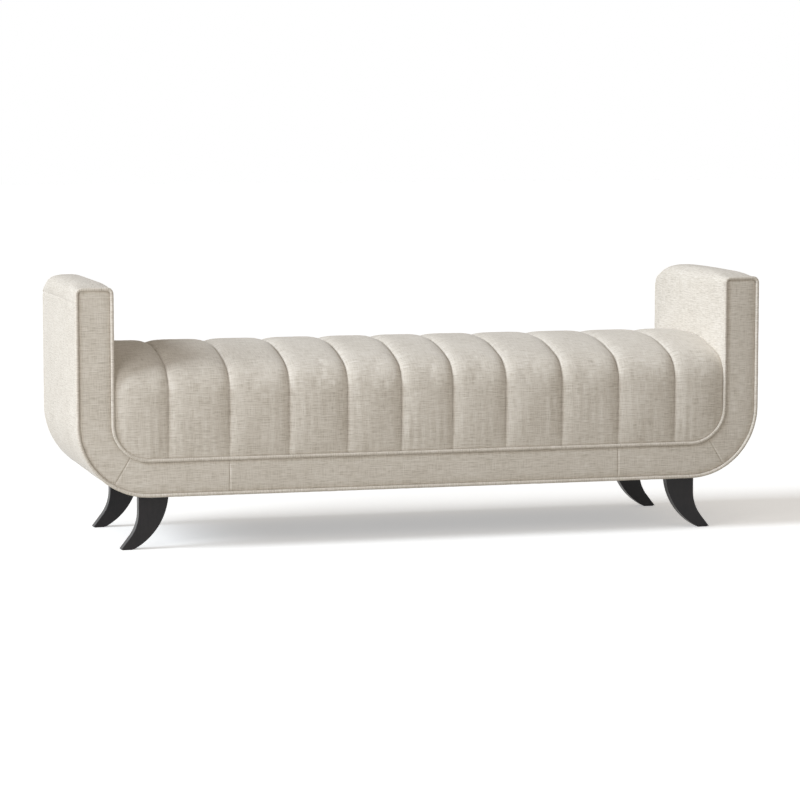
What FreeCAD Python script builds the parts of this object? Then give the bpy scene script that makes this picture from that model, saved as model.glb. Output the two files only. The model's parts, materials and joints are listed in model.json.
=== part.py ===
# Upholstered bench: a U-shaped body with two upright arms, a channelled seat and four sabre legs.
# Sizes are in millimetres. X runs along the bench, Y from front to rear and Z up.
# The origin is on the floor, under the middle of the bench.
import FreeCAD, Part

import math
import os

# Overall sizes
width = 1829.0  # over the outer welts
depth = 528.0  # front facing to rear facing
arm_height = 674.0  # floor to the crown of the arm tops
facing_drop = 2.5  # crown of the arm tops down to the top of the front welt
underside_height = 138.0  # floor to the lowest line of the body
band_width = 98.0  # face of the U-shaped facings, welts included
outer_corner_radius = 188.0  # lower corners of the U
facing_corner_radius = 12.0  # corners of the facings at the arm tops

# Soft layers and clearances
fabric = 2.0
arm_padding = 10.0
facing_padding = 6.0
welt_diameter = 8.0
soft_gap = 0.3  # between neighbouring soft pieces
overrun = 50.0  # how far cutting shapes reach past what they cut

# Arm tops
arm_front_drop = 6.0  # crown of the arm down to its front edge
arm_front_run = 120.0  # length of that slope
arm_edge_radius = 14.0
rear_roll_run = 115.0
rear_roll_radius = 16.0
rear_roll_turn = math.radians(60)
mitre_angle = math.radians(59)  # facing seam at the lower corners, below the level

# Seat
seat_rise = 134.0  # rail tops up to the channel crowns
seat_proud = 7.0  # channel crowns in front of the facings
seam_depth = 10.0  # channel crowns above their seams
seat_roll_radius = 80.0
seat_roll_turn = math.radians(62)
seat_foot_height = 40.0  # stretch over which a channel tucks in above the welt
seat_foot_tuck = 1.0  # channel foot behind its seams
seam_place_shares = (0.0845, 0.2606, 0.449, 0.6398, 0.8326)  # of half the seat, from the middle
pillow_place_shares = (-1.0, -0.8, -0.45, 0.0, 0.45, 0.8, 1.0)  # of half a channel
pillow_power = 2.6

# Boards of the frame
facing_board_thickness = 15.0
frame_board_thickness = 22.0
lining_board_thickness = 5.0
rail_top_height = 380.0
arm_top_depth = 62.0  # crown of the arm tops down to the frame
arm_rail_height = 22.0
arm_lower_rail_height = 40.0
lap_length = 80.0
lap_margin = 20.0  # between a lap joint and the leg board
leg_board_width = 90.0
leg_board_thickness = 22.0
cross_rail_drop = 50.0  # rail tops down to the cross rails, clear of the springs
cross_rail_place_shares = (-0.5, 0.0, 0.5)  # of the half width inside the leg boards
glue_block_leg = 40.0
glue_block_length = 70.0

# Springs
spring_wire_diameter = 3.8
spring_width = 50.0
spring_bars = 19
clip_thickness = 1.2
clip_length = 14.0
clip_tongue = 14.0
clip_play = 0.1
deck_thickness = 2.0

# Legs
leg_end_inset = 164.5  # outer edge of a leg's top, in from the end of the bench
leg_line_inset = 56.0  # middle of a leg behind the facing
leg_thickness = 29.0
leg_top_width = 77.5
leg_foot_width = 34.0
leg_straight_height = 97.0  # floor to the end of the outer edge's straight run
leg_sweep_radius = 105.0
leg_sweep_turn = math.radians(38)
leg_inner_bow = 25.0
leg_edge_radius = 1.5
foot_pad_thickness = 2.0
foot_pad_margin = 4.0
plate_length = 70.0
plate_depth = 60.0
plate_thickness = 3.0
plate_screw_margin = 7.0
leg_bolt_diameter = 8.0
leg_bolt_grip = 45.0
leg_bolt_rise = 15.0
wrap_end_gap = 4.0  # between a leg's top and the end of the outside-arm cover

# Screws and underside
screw_diameter = 4.0
screw_head_diameter = 8.0
screw_head_height = 2.5
plate_screw_length = 16.0
lap_screw_length = 18.0
facing_screw_length = 32.0
lap_screw_spread = 40.0
lap_screw_rise = 90.0
facing_screw_place_shares = (0.2, 0.57)  # along half the rail
arm_screw_height_shares = (0.25, 0.75)  # from the rail top to the arm top rail
dust_cover_thickness = 1.0
dust_cover_margin = 2.0

V = FreeCAD.Vector

# Places worked out from the sizes above
half_width = width / 2
corner_x = half_width - outer_corner_radius
corner_z = underside_height + outer_corner_radius
inner_x = half_width - band_width
inner_z = underside_height + band_width
inner_corner_radius = outer_corner_radius - band_width
front_y = -depth / 2
facing_height = arm_height - facing_drop
post_top_height = arm_height - arm_top_depth
seat_crown_height = rail_top_height + seat_rise
leg_outer_place = half_width - leg_end_inset
facing_board_y = front_y + fabric + facing_padding
frame_y = facing_board_y + facing_board_thickness
frame_inner_y = frame_y + frame_board_thickness
wood_inset = fabric + arm_padding + lining_board_thickness
frame_bottom = underside_height + wood_inset
post_outer_x = half_width - wood_inset
post_inner_x = inner_x + wood_inset
arm_padding_inset = fabric + arm_padding
wrap_end_x = leg_outer_place + wrap_end_gap
leg_board_inner_x = leg_outer_place - leg_board_width
leg_board_top = frame_bottom + leg_board_thickness
leg_y = front_y + leg_line_inset
leg_middle_x = leg_outer_place - leg_top_width / 2
plate_bottom = frame_bottom - plate_thickness
lap_outer_x = leg_board_inner_x - lap_margin
lap_inner_x = lap_outer_x - lap_length
welt_radius = welt_diameter / 2
wire_z = rail_top_height + clip_thickness + clip_play + spring_wire_diameter / 2
deck_z = wire_z + spring_wire_diameter / 2 + clip_play + clip_thickness
seat_half_length = inner_x - soft_gap
seat_bottom = inner_z + soft_gap
seat_foot_y = front_y - seat_proud + seam_depth + seat_foot_tuck
core_depth = seam_depth + seat_foot_tuck + fabric
seam_places = [share * seat_half_length for share in seam_place_shares]
facing_seam_x = seam_places[-2]  # in line with the last seat seam but one


def front_view(point):
    """Place a flat outline point in the front view."""
    return V(point.x, 0, point.y)


def side_view(point):
    """Place a flat outline point in the side view."""
    return V(0, point.x, point.y)


def flat(u, v):
    """Point of an outline before it is placed in a view."""
    return V(u, v, 0)


def line(start, end):
    """Straight edge."""
    return Part.LineSegment(start, end).toShape()


def arc(start, middle, end):
    """Round edge through three points."""
    return Part.Arc(start, middle, end).toShape()


def rounded_wire(corners, view):
    """Closed wire of straight runs and tangent arcs round corners of (u, v, radius)."""
    rounds = []
    for number, (u, v, radius) in enumerate(corners):
        here = flat(u, v)
        following = corners[(number + 1) % len(corners)]
        back = (flat(corners[number - 1][0], corners[number - 1][1]) - here).normalize()
        ahead = (flat(following[0], following[1]) - here).normalize()
        half_turn = (math.pi - back.getAngle(ahead)) / 2
        reach = radius * math.tan(half_turn)
        inward = (back + ahead).normalize() * (radius / math.cos(half_turn) - radius)
        rounds.append((here + back * reach, here + inward, here + ahead * reach, radius))
    edges = []
    for number, (start, middle, end, radius) in enumerate(rounds):
        if radius > 0:
            edges.append(arc(view(start), view(middle), view(end)))
        edges.append(line(view(end), view(rounds[(number + 1) % len(rounds)][0])))
    return Part.Wire(edges)


def slab(wire, y_start, y_end):
    """Front-view outline made solid between two depths."""
    face = Part.Face(wire)
    face.translate(V(0, y_start, 0))
    return face.extrude(V(0, y_end - y_start, 0))


def beam(wire, x_start, x_end):
    """Side-view outline made solid between two places along the bench."""
    face = Part.Face(wire)
    face.translate(V(x_start, 0, 0))
    return face.extrude(V(x_end - x_start, 0, 0))


def block(x_start, x_end, y_start, y_end, z_start, z_end):
    """Square block between two corners."""
    return Part.makeBox(x_end - x_start, y_end - y_start, z_end - z_start, V(x_start, y_start, z_start))


def to_left(shape):
    """Mirror a right-hand piece to the left."""
    return shape.mirror(V(0, 0, 0), V(1, 0, 0))


def to_rear(shape):
    """Mirror a front piece to the rear."""
    return shape.mirror(V(0, 0, 0), V(0, 1, 0))


def group(shapes):
    """Separate solids kept together."""
    return Part.makeCompound(shapes)


def save(name, shape):
    """Write one named piece."""
    shape.exportStep("parts/" + name + ".step")


def save_pair(name, right_piece):
    """Write a right-hand piece and its left-hand mirror."""
    save("right_" + name, right_piece)
    save("left_" + name, to_left(right_piece))


def u_wire(outer_inset, inner_inset, top, top_radius):
    """Outline of the U-shaped facing, drawn in from its outer and inner edges."""
    out_x = half_width - outer_inset
    out_z = underside_height + outer_inset
    out_radius = outer_corner_radius - outer_inset
    in_x = inner_x + inner_inset
    in_z = inner_z - inner_inset
    in_radius = inner_corner_radius + inner_inset
    corners = [
        (-out_x, out_z, out_radius), (out_x, out_z, out_radius),
        (out_x, top, top_radius), (in_x, top, top_radius),
        (in_x, in_z, in_radius), (-in_x, in_z, in_radius),
        (-in_x, top, top_radius), (-out_x, top, top_radius),
    ]
    return rounded_wire(corners, front_view)


def tub(inset, top, y_start, y_end):
    """Solid of the body's outer outline, drawn in all round and cut level at the top."""
    out_x = half_width - inset
    out_z = underside_height + inset
    radius = outer_corner_radius - inset
    corners = [(-out_x, out_z, radius), (out_x, out_z, radius), (out_x, top, 0), (-out_x, top, 0)]
    return slab(rounded_wire(corners, front_view), y_start, y_end)


def outer_layer(inset, thickness, top, y_end):
    """Right-hand layer that follows the outside of the arm and the lower corner."""
    ring = tub(inset, top, -y_end, y_end).cut(tub(inset + thickness, top + overrun, -depth, depth))
    return ring.common(block(wrap_end_x, width, -depth, depth, 0, top))


def opening(inset):
    """Solid that fills the space between the arms, drawn in all round."""
    side_x = inner_x - inset
    low_z = inner_z + inset
    radius = inner_corner_radius - inset
    high_z = arm_height + overrun
    corners = [(-side_x, low_z, radius), (side_x, low_z, radius), (side_x, high_z, 0), (-side_x, high_z, 0)]
    return slab(rounded_wire(corners, front_view), -depth, depth)


def roll_points(face_y, tangent_y, top_z, radius, turn):
    """Points of a two-arc roll from an upright face to a level top.

    Returns the start, the middle and end of the small arc, then the middle and end of the large arc.
    """
    side = 1 if tangent_y > face_y else -1
    large = (abs(tangent_y - face_y) - radius * (1 - math.cos(turn))) / math.cos(turn)
    join_z = top_z - large * (1 - math.sin(turn))
    start_z = join_z - radius * math.sin(turn)
    half = turn / 2
    late = (turn + math.pi / 2) / 2
    return [
        flat(face_y, start_z),
        flat(face_y + side * radius * (1 - math.cos(half)), start_z + radius * math.sin(half)),
        flat(face_y + side * radius * (1 - math.cos(turn)), join_z),
        flat(tangent_y - side * large * math.cos(late), top_z - large * (1 - math.sin(late))),
        flat(tangent_y, top_z),
    ]


def cover_roll(inset):
    """Rear roll of the arm top, drawn in by the layers outside it."""
    rear_y = -front_y - inset
    return roll_points(rear_y, -front_y - rear_roll_run, arm_height - inset, rear_roll_radius - inset,
                       rear_roll_turn)


rear_facing_height = cover_roll(0)[0].y - soft_gap
band_seam_z = rear_facing_height


def countersunk_screw(length, place, direction):
    """Flat-headed screw whose head lies at a place and whose shank runs in a direction."""
    head = Part.makeCone(screw_head_diameter / 2, screw_diameter / 2, screw_head_height, place, direction)
    shank = Part.makeCylinder(screw_diameter / 2, length, place, direction)
    return head.fuse(shank).removeSplitter()


# Screws and bolts come first, because the boards take their holes from them.
def leg_places():
    """Middle of each leg's top, as signs to the right and to the rear."""
    return [(across, along) for across in (-1, 1) for along in (-1, 1)]


def plate_screws():
    """Four screws through each leg plate."""
    reach_x = plate_length / 2 - plate_screw_margin
    reach_y = plate_depth / 2 - plate_screw_margin
    screws = []
    for across, along in leg_places():
        for step_x in (-reach_x, reach_x):
            for step_y in (-reach_y, reach_y):
                place = V(across * leg_middle_x + step_x, -along * leg_y + step_y, plate_bottom)
                screws.append(countersunk_screw(plate_screw_length, place, V(0, 0, 1)))
    return screws


def leg_bolts():
    """One bolt from each leg into its plate and leg board."""
    bolts = []
    for across, along in leg_places():
        foot = V(across * leg_middle_x, -along * leg_y, plate_bottom - leg_bolt_grip)
        length = leg_bolt_grip + plate_thickness + leg_bolt_rise
        bolts.append(Part.makeCylinder(leg_bolt_diameter / 2, length, foot, V(0, 0, 1)))
    return bolts


def front_frame_screws():
    """Screws of the front frame: four in each lap and those that hold the facing board."""
    lap_x = (lap_inner_x + lap_outer_x) / 2
    lap_z = (frame_bottom + rail_top_height) / 2
    post_x = (post_inner_x + post_outer_x) / 2
    screws = []
    for side in (-1, 1):
        for step_x in (-lap_screw_spread / 2, lap_screw_spread / 2):
            for step_z in (-lap_screw_rise / 2, lap_screw_rise / 2):
                place = V(side * lap_x + step_x, frame_inner_y, lap_z + step_z)
                screws.append(countersunk_screw(lap_screw_length, place, V(0, -1, 0)))
        for share in facing_screw_place_shares:
            place = V(side * share * half_width, frame_inner_y, (underside_height + inner_z) / 2)
            screws.append(countersunk_screw(facing_screw_length, place, V(0, -1, 0)))
        for share in arm_screw_height_shares:
            height = rail_top_height + share * (post_top_height - arm_rail_height - rail_top_height)
            place = V(side * post_x, frame_inner_y, height)
            screws.append(countersunk_screw(facing_screw_length, place, V(0, -1, 0)))
    return screws


plate_screw_group = group(plate_screws())
leg_bolt_group = group(leg_bolts())
front_screws = group(front_frame_screws())


# Frame
def leg_board():
    """Right-hand board across the underside, which carries two legs."""
    board = block(leg_board_inner_x, leg_outer_place, frame_y, -frame_y, frame_bottom, leg_board_top)
    return board.cut(plate_screw_group).cut(leg_bolt_group)


def front_frame():
    """Front rail and right upright, half-lapped and housed over the leg board."""
    corners = [
        (-post_outer_x, frame_bottom, outer_corner_radius - wood_inset),
        (post_outer_x, frame_bottom, outer_corner_radius - wood_inset),
        (post_outer_x, post_top_height, 0), (post_inner_x, post_top_height, 0),
        (post_inner_x, rail_top_height, 0), (-post_inner_x, rail_top_height, 0),
        (-post_inner_x, post_top_height, 0), (-post_outer_x, post_top_height, 0),
    ]
    panel = slab(rounded_wire(corners, front_view), frame_y, frame_inner_y)
    housing = block(leg_board_inner_x, leg_outer_place, frame_y, frame_inner_y, 0, leg_board_top)
    panel = panel.cut(group([housing, to_left(housing), front_screws]))
    lap_y = (frame_y + frame_inner_y) / 2
    upright_reach = block(lap_outer_x, width, -depth, depth, 0, arm_height)
    lap_tongue = block(lap_inner_x, lap_outer_x, -depth, lap_y, 0, arm_height)
    upright = panel.common(upright_reach.fuse(lap_tongue))
    rail_reach = block(-lap_outer_x, lap_outer_x, -depth, depth, 0, arm_height)
    rail = panel.common(rail_reach.cut(group([lap_tongue, to_left(lap_tongue)])))
    return rail, upright


def arm_boards():
    """Right-hand arm rails and the thin board on the inside of the arm."""
    rail_y = -frame_inner_y
    top_rail = block(post_inner_x, post_outer_x, -rail_y, rail_y, post_top_height - arm_rail_height,
                     post_top_height)
    lower_rail = block(post_inner_x, post_outer_x, -rail_y, rail_y,
                       rail_top_height - arm_lower_rail_height, rail_top_height)
    lining_x = post_inner_x - lining_board_thickness
    lining = block(lining_x, post_inner_x, frame_y, -frame_y, rail_top_height, post_top_height)
    return top_rail, lower_rail, lining


def cross_rails():
    """Boards from the front rail to the rear rail."""
    rails = []
    for share in cross_rail_place_shares:
        middle = share * leg_board_inner_x
        half = frame_board_thickness / 2
        rails.append(block(middle - half, middle + half, frame_inner_y, -frame_inner_y, frame_bottom,
                           rail_top_height - cross_rail_drop))
    return rails


def glue_blocks():
    """Three-cornered blocks between the leg boards and the rails."""
    corners = [
        (frame_inner_y, leg_board_top, 0), (frame_inner_y + glue_block_leg, leg_board_top, 0),
        (frame_inner_y, leg_board_top + glue_block_leg, 0),
    ]
    middle = leg_outer_place - leg_board_width / 2
    half = glue_block_length / 2
    one = beam(rounded_wire(corners, side_view), middle - half, middle + half)
    return [one, to_left(one), to_rear(one), to_rear(to_left(one))]


# Facings
def facing(top):
    """Board, padding, cover outline and welt of the front facing, up to a given height."""
    board_wire = u_wire(fabric, fabric, top - welt_diameter, facing_corner_radius)
    board = slab(board_wire, facing_board_y, frame_y)
    inset = welt_diameter + soft_gap
    face_wire = u_wire(inset, inset, top - inset, facing_corner_radius)
    padding = slab(face_wire, front_y + fabric, facing_board_y)
    cover = slab(face_wire, front_y, front_y + fabric)
    welt_y = facing_board_y - welt_radius
    path = u_wire(welt_radius, welt_radius, top - welt_radius, facing_corner_radius)
    path.translate(V(0, welt_y, 0))
    start = path.Edges[0].valueAt(path.Edges[0].FirstParameter)
    along = path.Edges[0].tangentAt(path.Edges[0].FirstParameter)
    section = Part.Wire(Part.makeCircle(welt_radius, start, along))
    welt = path.makePipeShell([section], True, False)
    return board.cut(front_screws), padding, cover, welt


def facing_pieces(cover):
    """Cover of a facing cut at its mitres and upright seams, as left, lower and right pieces."""
    far = V(corner_x + width * math.cos(mitre_angle), 0, corner_z - width * math.sin(mitre_angle))
    edges = [V(corner_x, -depth, corner_z), V(far.x, -depth, far.z), V(width + far.x, -depth, far.z),
             V(width + far.x, -depth, arm_height + overrun), V(corner_x, -depth, arm_height + overrun)]
    edges.append(edges[0])
    arm_side = Part.Face(Part.makePolygon(edges)).extrude(V(0, width, 0))
    middle_side = block(-facing_seam_x, facing_seam_x, -depth, depth, 0, arm_height)
    right_arm = cover.common(arm_side)
    middle = cover.common(middle_side)
    right_half = block(0, width, -depth, depth, 0, arm_height)
    right_lower = cover.common(right_half).cut(arm_side).cut(middle_side)
    return right_arm, right_lower, middle


# Arms
def arm_top_form(inset):
    """Right-hand arm above the outside seam: sloped at the front, rolled at the rear, edges rounded."""
    top_z = arm_height - inset
    base_z = rear_facing_height + soft_gap
    face_y = facing_board_y
    level_y = front_y + arm_front_run
    slope_radius = (arm_front_run ** 2 + arm_front_drop ** 2) / (2 * arm_front_drop)
    start_turn = math.asin((level_y - face_y) / slope_radius)

    def slope(turn):
        """Point on the front slope, by its turn from the level."""
        return side_view(flat(level_y - slope_radius * math.sin(turn),
                              top_z - slope_radius * (1 - math.cos(turn))))

    roll = [side_view(point) for point in cover_roll(inset)]
    front_foot = V(0, face_y, base_z)
    edges = [arc(slope(start_turn), slope(start_turn / 2), slope(0)), line(slope(0), roll[4]),
             arc(roll[4], roll[3], roll[2]), arc(roll[2], roll[1], roll[0])]
    edges += [line(roll[0], front_foot), line(front_foot, slope(start_turn))]
    form = beam(Part.Wire(edges), inner_x + inset, half_width - inset)
    rims = []
    for edge in form.Edges:
        box = edge.BoundBox
        on_front = box.YMax < face_y + soft_gap
        if box.XLength < soft_gap and box.ZMax > base_z + soft_gap and not on_front:
            rims.append(edge)
    return form.makeFillet(arm_edge_radius - inset, rims)


def arm_form(inset, low_z):
    """Right-hand arm as a rounded form, drawn in by the layers outside it."""
    base_z = rear_facing_height + soft_gap
    lower = block(inner_x + inset, half_width - inset, facing_board_y, -facing_board_y, low_z, base_z)
    return arm_top_form(inset).fuse(lower)


def arm_pieces():
    """Right-hand arm cover and arm padding."""
    outside = arm_form(0, rail_top_height)
    inside = arm_form(fabric, 0)
    passage = block(inner_x + fabric, half_width - fabric, -depth, depth, 0, rear_facing_height)
    below_seam = block(half_width - fabric - soft_gap, width, -depth, depth, 0, band_seam_z)
    cover = outside.cut(inside).cut(passage).cut(below_seam)
    padding_x = inner_x + arm_padding_inset
    frame_space = block(padding_x, width, -depth, depth, 0, post_top_height)
    front_space = block(0, width, -depth, frame_y, 0, arm_height)
    rear_space = block(0, width, -frame_y, depth, 0, rear_facing_height)
    below = block(0, width, -depth, depth, 0, rail_top_height)
    padding = inside.cut(frame_space).cut(front_space).cut(rear_space).cut(below)
    return cover, padding


# Seat
def seat_outline(x, drawn_in, bottom):
    """Side outline of the seat at a place along the bench, drawn in from the channel crowns."""
    face_y = front_y - seat_proud + drawn_in
    foot_y = max(seat_foot_y, face_y + seat_foot_tuck)
    tuck = foot_y - face_y
    foot_radius = (seat_foot_height ** 2 + tuck ** 2) / (2 * tuck)
    half_turn = math.asin(seat_foot_height / foot_radius) / 2
    foot_top = bottom + seat_foot_height
    foot_middle = flat(face_y + foot_radius * (1 - math.cos(half_turn)),
                       foot_top - foot_radius * math.sin(half_turn))
    foot = [flat(foot_y, bottom), foot_middle, flat(face_y, foot_top)]
    roll = roll_points(face_y, 0, seat_crown_height - drawn_in, seat_roll_radius - drawn_in, seat_roll_turn)
    front = [V(x, point.x, point.y) for point in foot + roll]
    rear = [V(x, -point.x, point.y) for point in foot + roll]
    return Part.Wire([
        line(rear[0], front[0]),
        arc(front[0], front[1], front[2]), line(front[2], front[3]),
        arc(front[3], front[4], front[5]), arc(front[5], front[7], rear[5]),
        arc(rear[5], rear[4], rear[3]), line(rear[3], rear[2]),
        arc(rear[2], rear[1], rear[0]),
    ])


def seat_channel(start, end):
    """One padded channel between two seams."""
    middle = (start + end) / 2
    half = (end - start) / 2
    outlines = []
    for share in pillow_place_shares:
        drawn_in = seam_depth * abs(share) ** pillow_power
        outlines.append(seat_outline(middle + share * half, drawn_in, seat_bottom))
    return Part.makeLoft(outlines, True, False)


def channel_ends():
    """Seams of the seat from end to end."""
    right = seam_places + [seat_half_length]
    return [-place for place in reversed(right)] + right


def seat_pieces():
    """Seat cover and seat foam."""
    ends = channel_ends()
    channels = [seat_channel(start, end) for start, end in zip(ends, ends[1:])]
    trim = opening(soft_gap)
    channels[0] = channels[0].common(trim)
    channels[-1] = channels[-1].common(trim)
    form = channels[0].multiFuse(channels[1:])
    core_wire = seat_outline(-half_width, core_depth, seat_bottom - overrun)
    core = Part.Face(core_wire).extrude(V(width, 0, 0)).common(opening(soft_gap + fabric))
    below = block(-width, width, frame_y, -frame_y, 0, deck_z + deck_thickness)
    cover = form.cut(core).cut(below)
    foam = core.cut(below)
    return cover, foam


# Springs
def spring(middle):
    """One sinuous spring from the front rail to the rear rail."""
    end_y = (frame_y + frame_inner_y) / 2
    pitch = -2 * end_y / (spring_bars - 1)
    bend = pitch / 2
    reach = spring_width / 2 - bend
    corner = bend * math.sqrt(0.5)
    edges = []
    for bar in range(spring_bars):
        side = 1 if bar % 2 == 0 else -1
        y = end_y + bar * pitch
        edges.append(line(V(middle - side * reach, y, wire_z), V(middle + side * reach, y, wire_z)))
        if bar < spring_bars - 1:
            start = V(middle + side * reach, y, wire_z)
            tip = V(middle + side * (reach + bend), y + bend, wire_z)
            end = V(middle + side * reach, y + pitch, wire_z)
            edges.append(arc(start, V(middle + side * (reach + corner), y + bend - corner, wire_z), tip))
            edges.append(arc(tip, V(middle + side * (reach + corner), y + bend + corner, wire_z), end))
    wire_end = V(middle - reach, end_y, wire_z)
    section = Part.Wire(Part.makeCircle(spring_wire_diameter / 2, wire_end, V(1, 0, 0)))
    return Part.Wire(edges).makePipeShell([section], True, False)


def spring_clip(middle):
    """Front clip that holds the end of a spring on the rail."""
    y = (frame_y + frame_inner_y) / 2
    start = V(middle - clip_length / 2, y, wire_z)
    bore = spring_wire_diameter / 2 + clip_play
    ring = Part.makeCylinder(bore + clip_thickness, clip_length, start, V(1, 0, 0))
    tongue = block(start.x, start.x + clip_length, y - clip_tongue / 2, y + clip_tongue / 2, rail_top_height,
                   rail_top_height + clip_thickness)
    return ring.fuse(tongue).cut(Part.makeCylinder(bore, clip_length, start, V(1, 0, 0))).removeSplitter()


# Legs
def leg():
    """Right rear leg before its bolt hole: straight at the top, swept outwards to the foot."""
    top = plate_bottom
    bottom = foot_pad_thickness
    sweep_start = V(leg_outer_place, 0, leg_straight_height)

    def sweep(turn):
        """Point on the outer edge's sweep, by its turn from upright."""
        return sweep_start + V(1 - math.cos(turn), 0, -math.sin(turn)) * leg_sweep_radius

    sweep_end = sweep(leg_sweep_turn)
    tip = V(sweep_end.x + (sweep_end.z - bottom) * math.tan(leg_sweep_turn), 0, bottom)
    heel = V(tip.x - leg_foot_width, 0, bottom)
    inner_top = V(leg_outer_place - leg_top_width, 0, top)
    outer_top = V(leg_outer_place, 0, top)
    chord = heel - inner_top
    bow = V(chord.z, 0, -chord.x).normalize() * leg_inner_bow
    outline = Part.Wire([
        line(inner_top, outer_top), line(outer_top, sweep_start),
        arc(sweep_start, sweep(leg_sweep_turn / 2), sweep_end), line(sweep_end, tip), line(tip, heel),
        arc(heel, (inner_top + heel) / 2 + bow, inner_top),
    ])
    solid = slab(outline, -leg_y - leg_thickness / 2, -leg_y + leg_thickness / 2)
    long_edges = []
    for edge in solid.Edges:
        box = edge.BoundBox
        if box.YLength < soft_gap and box.ZLength > soft_gap:
            long_edges.append(edge)
    pad_reach_y = leg_thickness / 2 - foot_pad_margin
    pad = block(heel.x + foot_pad_margin, tip.x - foot_pad_margin, -leg_y - pad_reach_y, -leg_y + pad_reach_y,
                0, bottom)
    return solid.makeFillet(leg_edge_radius, long_edges).cut(leg_bolt_group), pad


def leg_plate():
    """Right rear leg plate."""
    plate = block(leg_middle_x - plate_length / 2, leg_middle_x + plate_length / 2, -leg_y - plate_depth / 2,
                  -leg_y + plate_depth / 2, plate_bottom, frame_bottom)
    return plate.cut(plate_screw_group).cut(leg_bolt_group)


def four_corners(piece):
    """A right rear piece at all four corners, by name."""
    return {
        "right_rear": piece, "left_rear": to_left(piece),
        "right_front": to_rear(piece), "left_front": to_rear(to_left(piece)),
    }


# Underside
def dust_cover(plates):
    """Thin cloth under the frame, cut out round the leg plates."""
    reach_x = wrap_end_x - dust_cover_margin
    reach_y = -frame_y - dust_cover_margin
    sheet = block(-reach_x, reach_x, -reach_y, reach_y, frame_bottom - dust_cover_thickness, frame_bottom)
    holes = []
    for plate in plates:
        box = plate.BoundBox
        holes.append(block(box.XMin - soft_gap, box.XMax + soft_gap, box.YMin - soft_gap, box.YMax + soft_gap,
                           0, arm_height))
    return sheet.cut(group(holes))


os.makedirs("parts", exist_ok=True)

front_rail, front_upright = front_frame()
save("front_rail", front_rail)
save("rear_rail", to_rear(front_rail))
save_pair("front_upright", front_upright)
save_pair("rear_upright", to_rear(front_upright))
save_pair("leg_board", leg_board())
top_rail, lower_rail, arm_lining = arm_boards()
save_pair("arm_top_rail", top_rail)
save_pair("arm_lower_rail", lower_rail)
save_pair("inside_arm_board", arm_lining)
save("cross_rails", group(cross_rails()))
save("glue_blocks", group(glue_blocks()))
save("frame_screws", group([front_screws, to_rear(front_screws)]))

strip = block(-wrap_end_x, wrap_end_x, facing_board_y, frame_y, underside_height,
              underside_height + fabric)
for end_name, top in (("front", facing_height), ("rear", rear_facing_height)):
    board, padding, cover, welt = facing(top)
    right_arm, right_lower, middle = facing_pieces(cover)
    pieces = [board, padding, welt, right_arm, right_lower, middle, strip]
    if end_name == "rear":
        pieces = [to_rear(piece) for piece in pieces]
    board, padding, welt, right_arm, right_lower, middle, end_strip = pieces
    save(end_name + "_facing_board", board)
    save(end_name + "_facing_padding", padding)
    save(end_name + "_welt", welt)
    save_pair(end_name + "_arm_facing", right_arm)
    save_pair(end_name + "_lower_facing", right_lower)
    save(end_name + "_middle_facing", middle)
    save(end_name + "_underside_strip", end_strip)

arm_cover, arm_pad = arm_pieces()
save_pair("arm_cover", arm_cover)
save_pair("arm_padding", arm_pad)
save_pair("outside_arm_cover", outer_layer(0, fabric, band_seam_z, -facing_board_y))
save_pair("outside_arm_padding", outer_layer(fabric, arm_padding, post_top_height, -frame_y))
outside_board = outer_layer(arm_padding_inset, lining_board_thickness, post_top_height, -frame_y)
save_pair("outside_arm_board", outside_board)

seat_cover, seat_foam = seat_pieces()
save("seat_cover", seat_cover)
save("seat_foam", seat_foam)
deck_reach = seat_half_length - fabric - soft_gap
deck_sheet = block(-deck_reach, deck_reach, frame_y, -frame_y, deck_z, deck_z + deck_thickness)
save("deck_sheet", deck_sheet)
seams = channel_ends()
spring_places = [(start + end) / 2 for start, end in zip(seams, seams[1:])]
save("sinuous_springs", group([spring(place) for place in spring_places]))
front_clips = [spring_clip(place) for place in spring_places]
save("spring_clips", group(front_clips + [to_rear(clip) for clip in front_clips]))

leg_solid, foot_pad = leg()
for corner, piece in four_corners(leg_solid).items():
    save(corner + "_leg", piece)
save("foot_pads", group(list(four_corners(foot_pad).values())))
plates = list(four_corners(leg_plate()).values())
save("leg_plates", group(plates))
save("leg_bolts", leg_bolt_group)
save("leg_plate_screws", plate_screw_group)
save("dust_cover", dust_cover(plates))
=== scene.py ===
import json
import logging
import math
from dataclasses import dataclass, replace
from enum import Enum
from typing import Any

import bpy
import numpy as np
from mathutils import Euler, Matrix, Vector


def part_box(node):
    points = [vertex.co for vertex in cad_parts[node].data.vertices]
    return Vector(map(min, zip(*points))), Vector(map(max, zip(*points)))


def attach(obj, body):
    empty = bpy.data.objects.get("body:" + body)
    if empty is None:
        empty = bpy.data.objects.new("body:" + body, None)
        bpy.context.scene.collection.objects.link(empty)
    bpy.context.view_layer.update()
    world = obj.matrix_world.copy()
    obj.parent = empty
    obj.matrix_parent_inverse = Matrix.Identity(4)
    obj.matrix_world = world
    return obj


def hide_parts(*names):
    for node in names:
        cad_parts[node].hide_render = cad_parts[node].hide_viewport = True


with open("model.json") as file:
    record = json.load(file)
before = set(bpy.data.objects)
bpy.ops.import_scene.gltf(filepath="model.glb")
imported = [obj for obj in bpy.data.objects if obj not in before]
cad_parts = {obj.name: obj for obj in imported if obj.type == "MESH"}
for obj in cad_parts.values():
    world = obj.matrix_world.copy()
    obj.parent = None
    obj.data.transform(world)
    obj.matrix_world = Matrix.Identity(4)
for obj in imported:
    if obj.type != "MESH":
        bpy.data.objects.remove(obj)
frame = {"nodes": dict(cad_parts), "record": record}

LOG = logging.getLogger("bench")
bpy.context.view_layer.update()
BODY = "root"
CLOTH_UV = "cloth"
MM = 0.001  # sizes are in millimetres, meshes in metres
TINY = 1e-9
QUARTER = math.pi / 2
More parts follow.
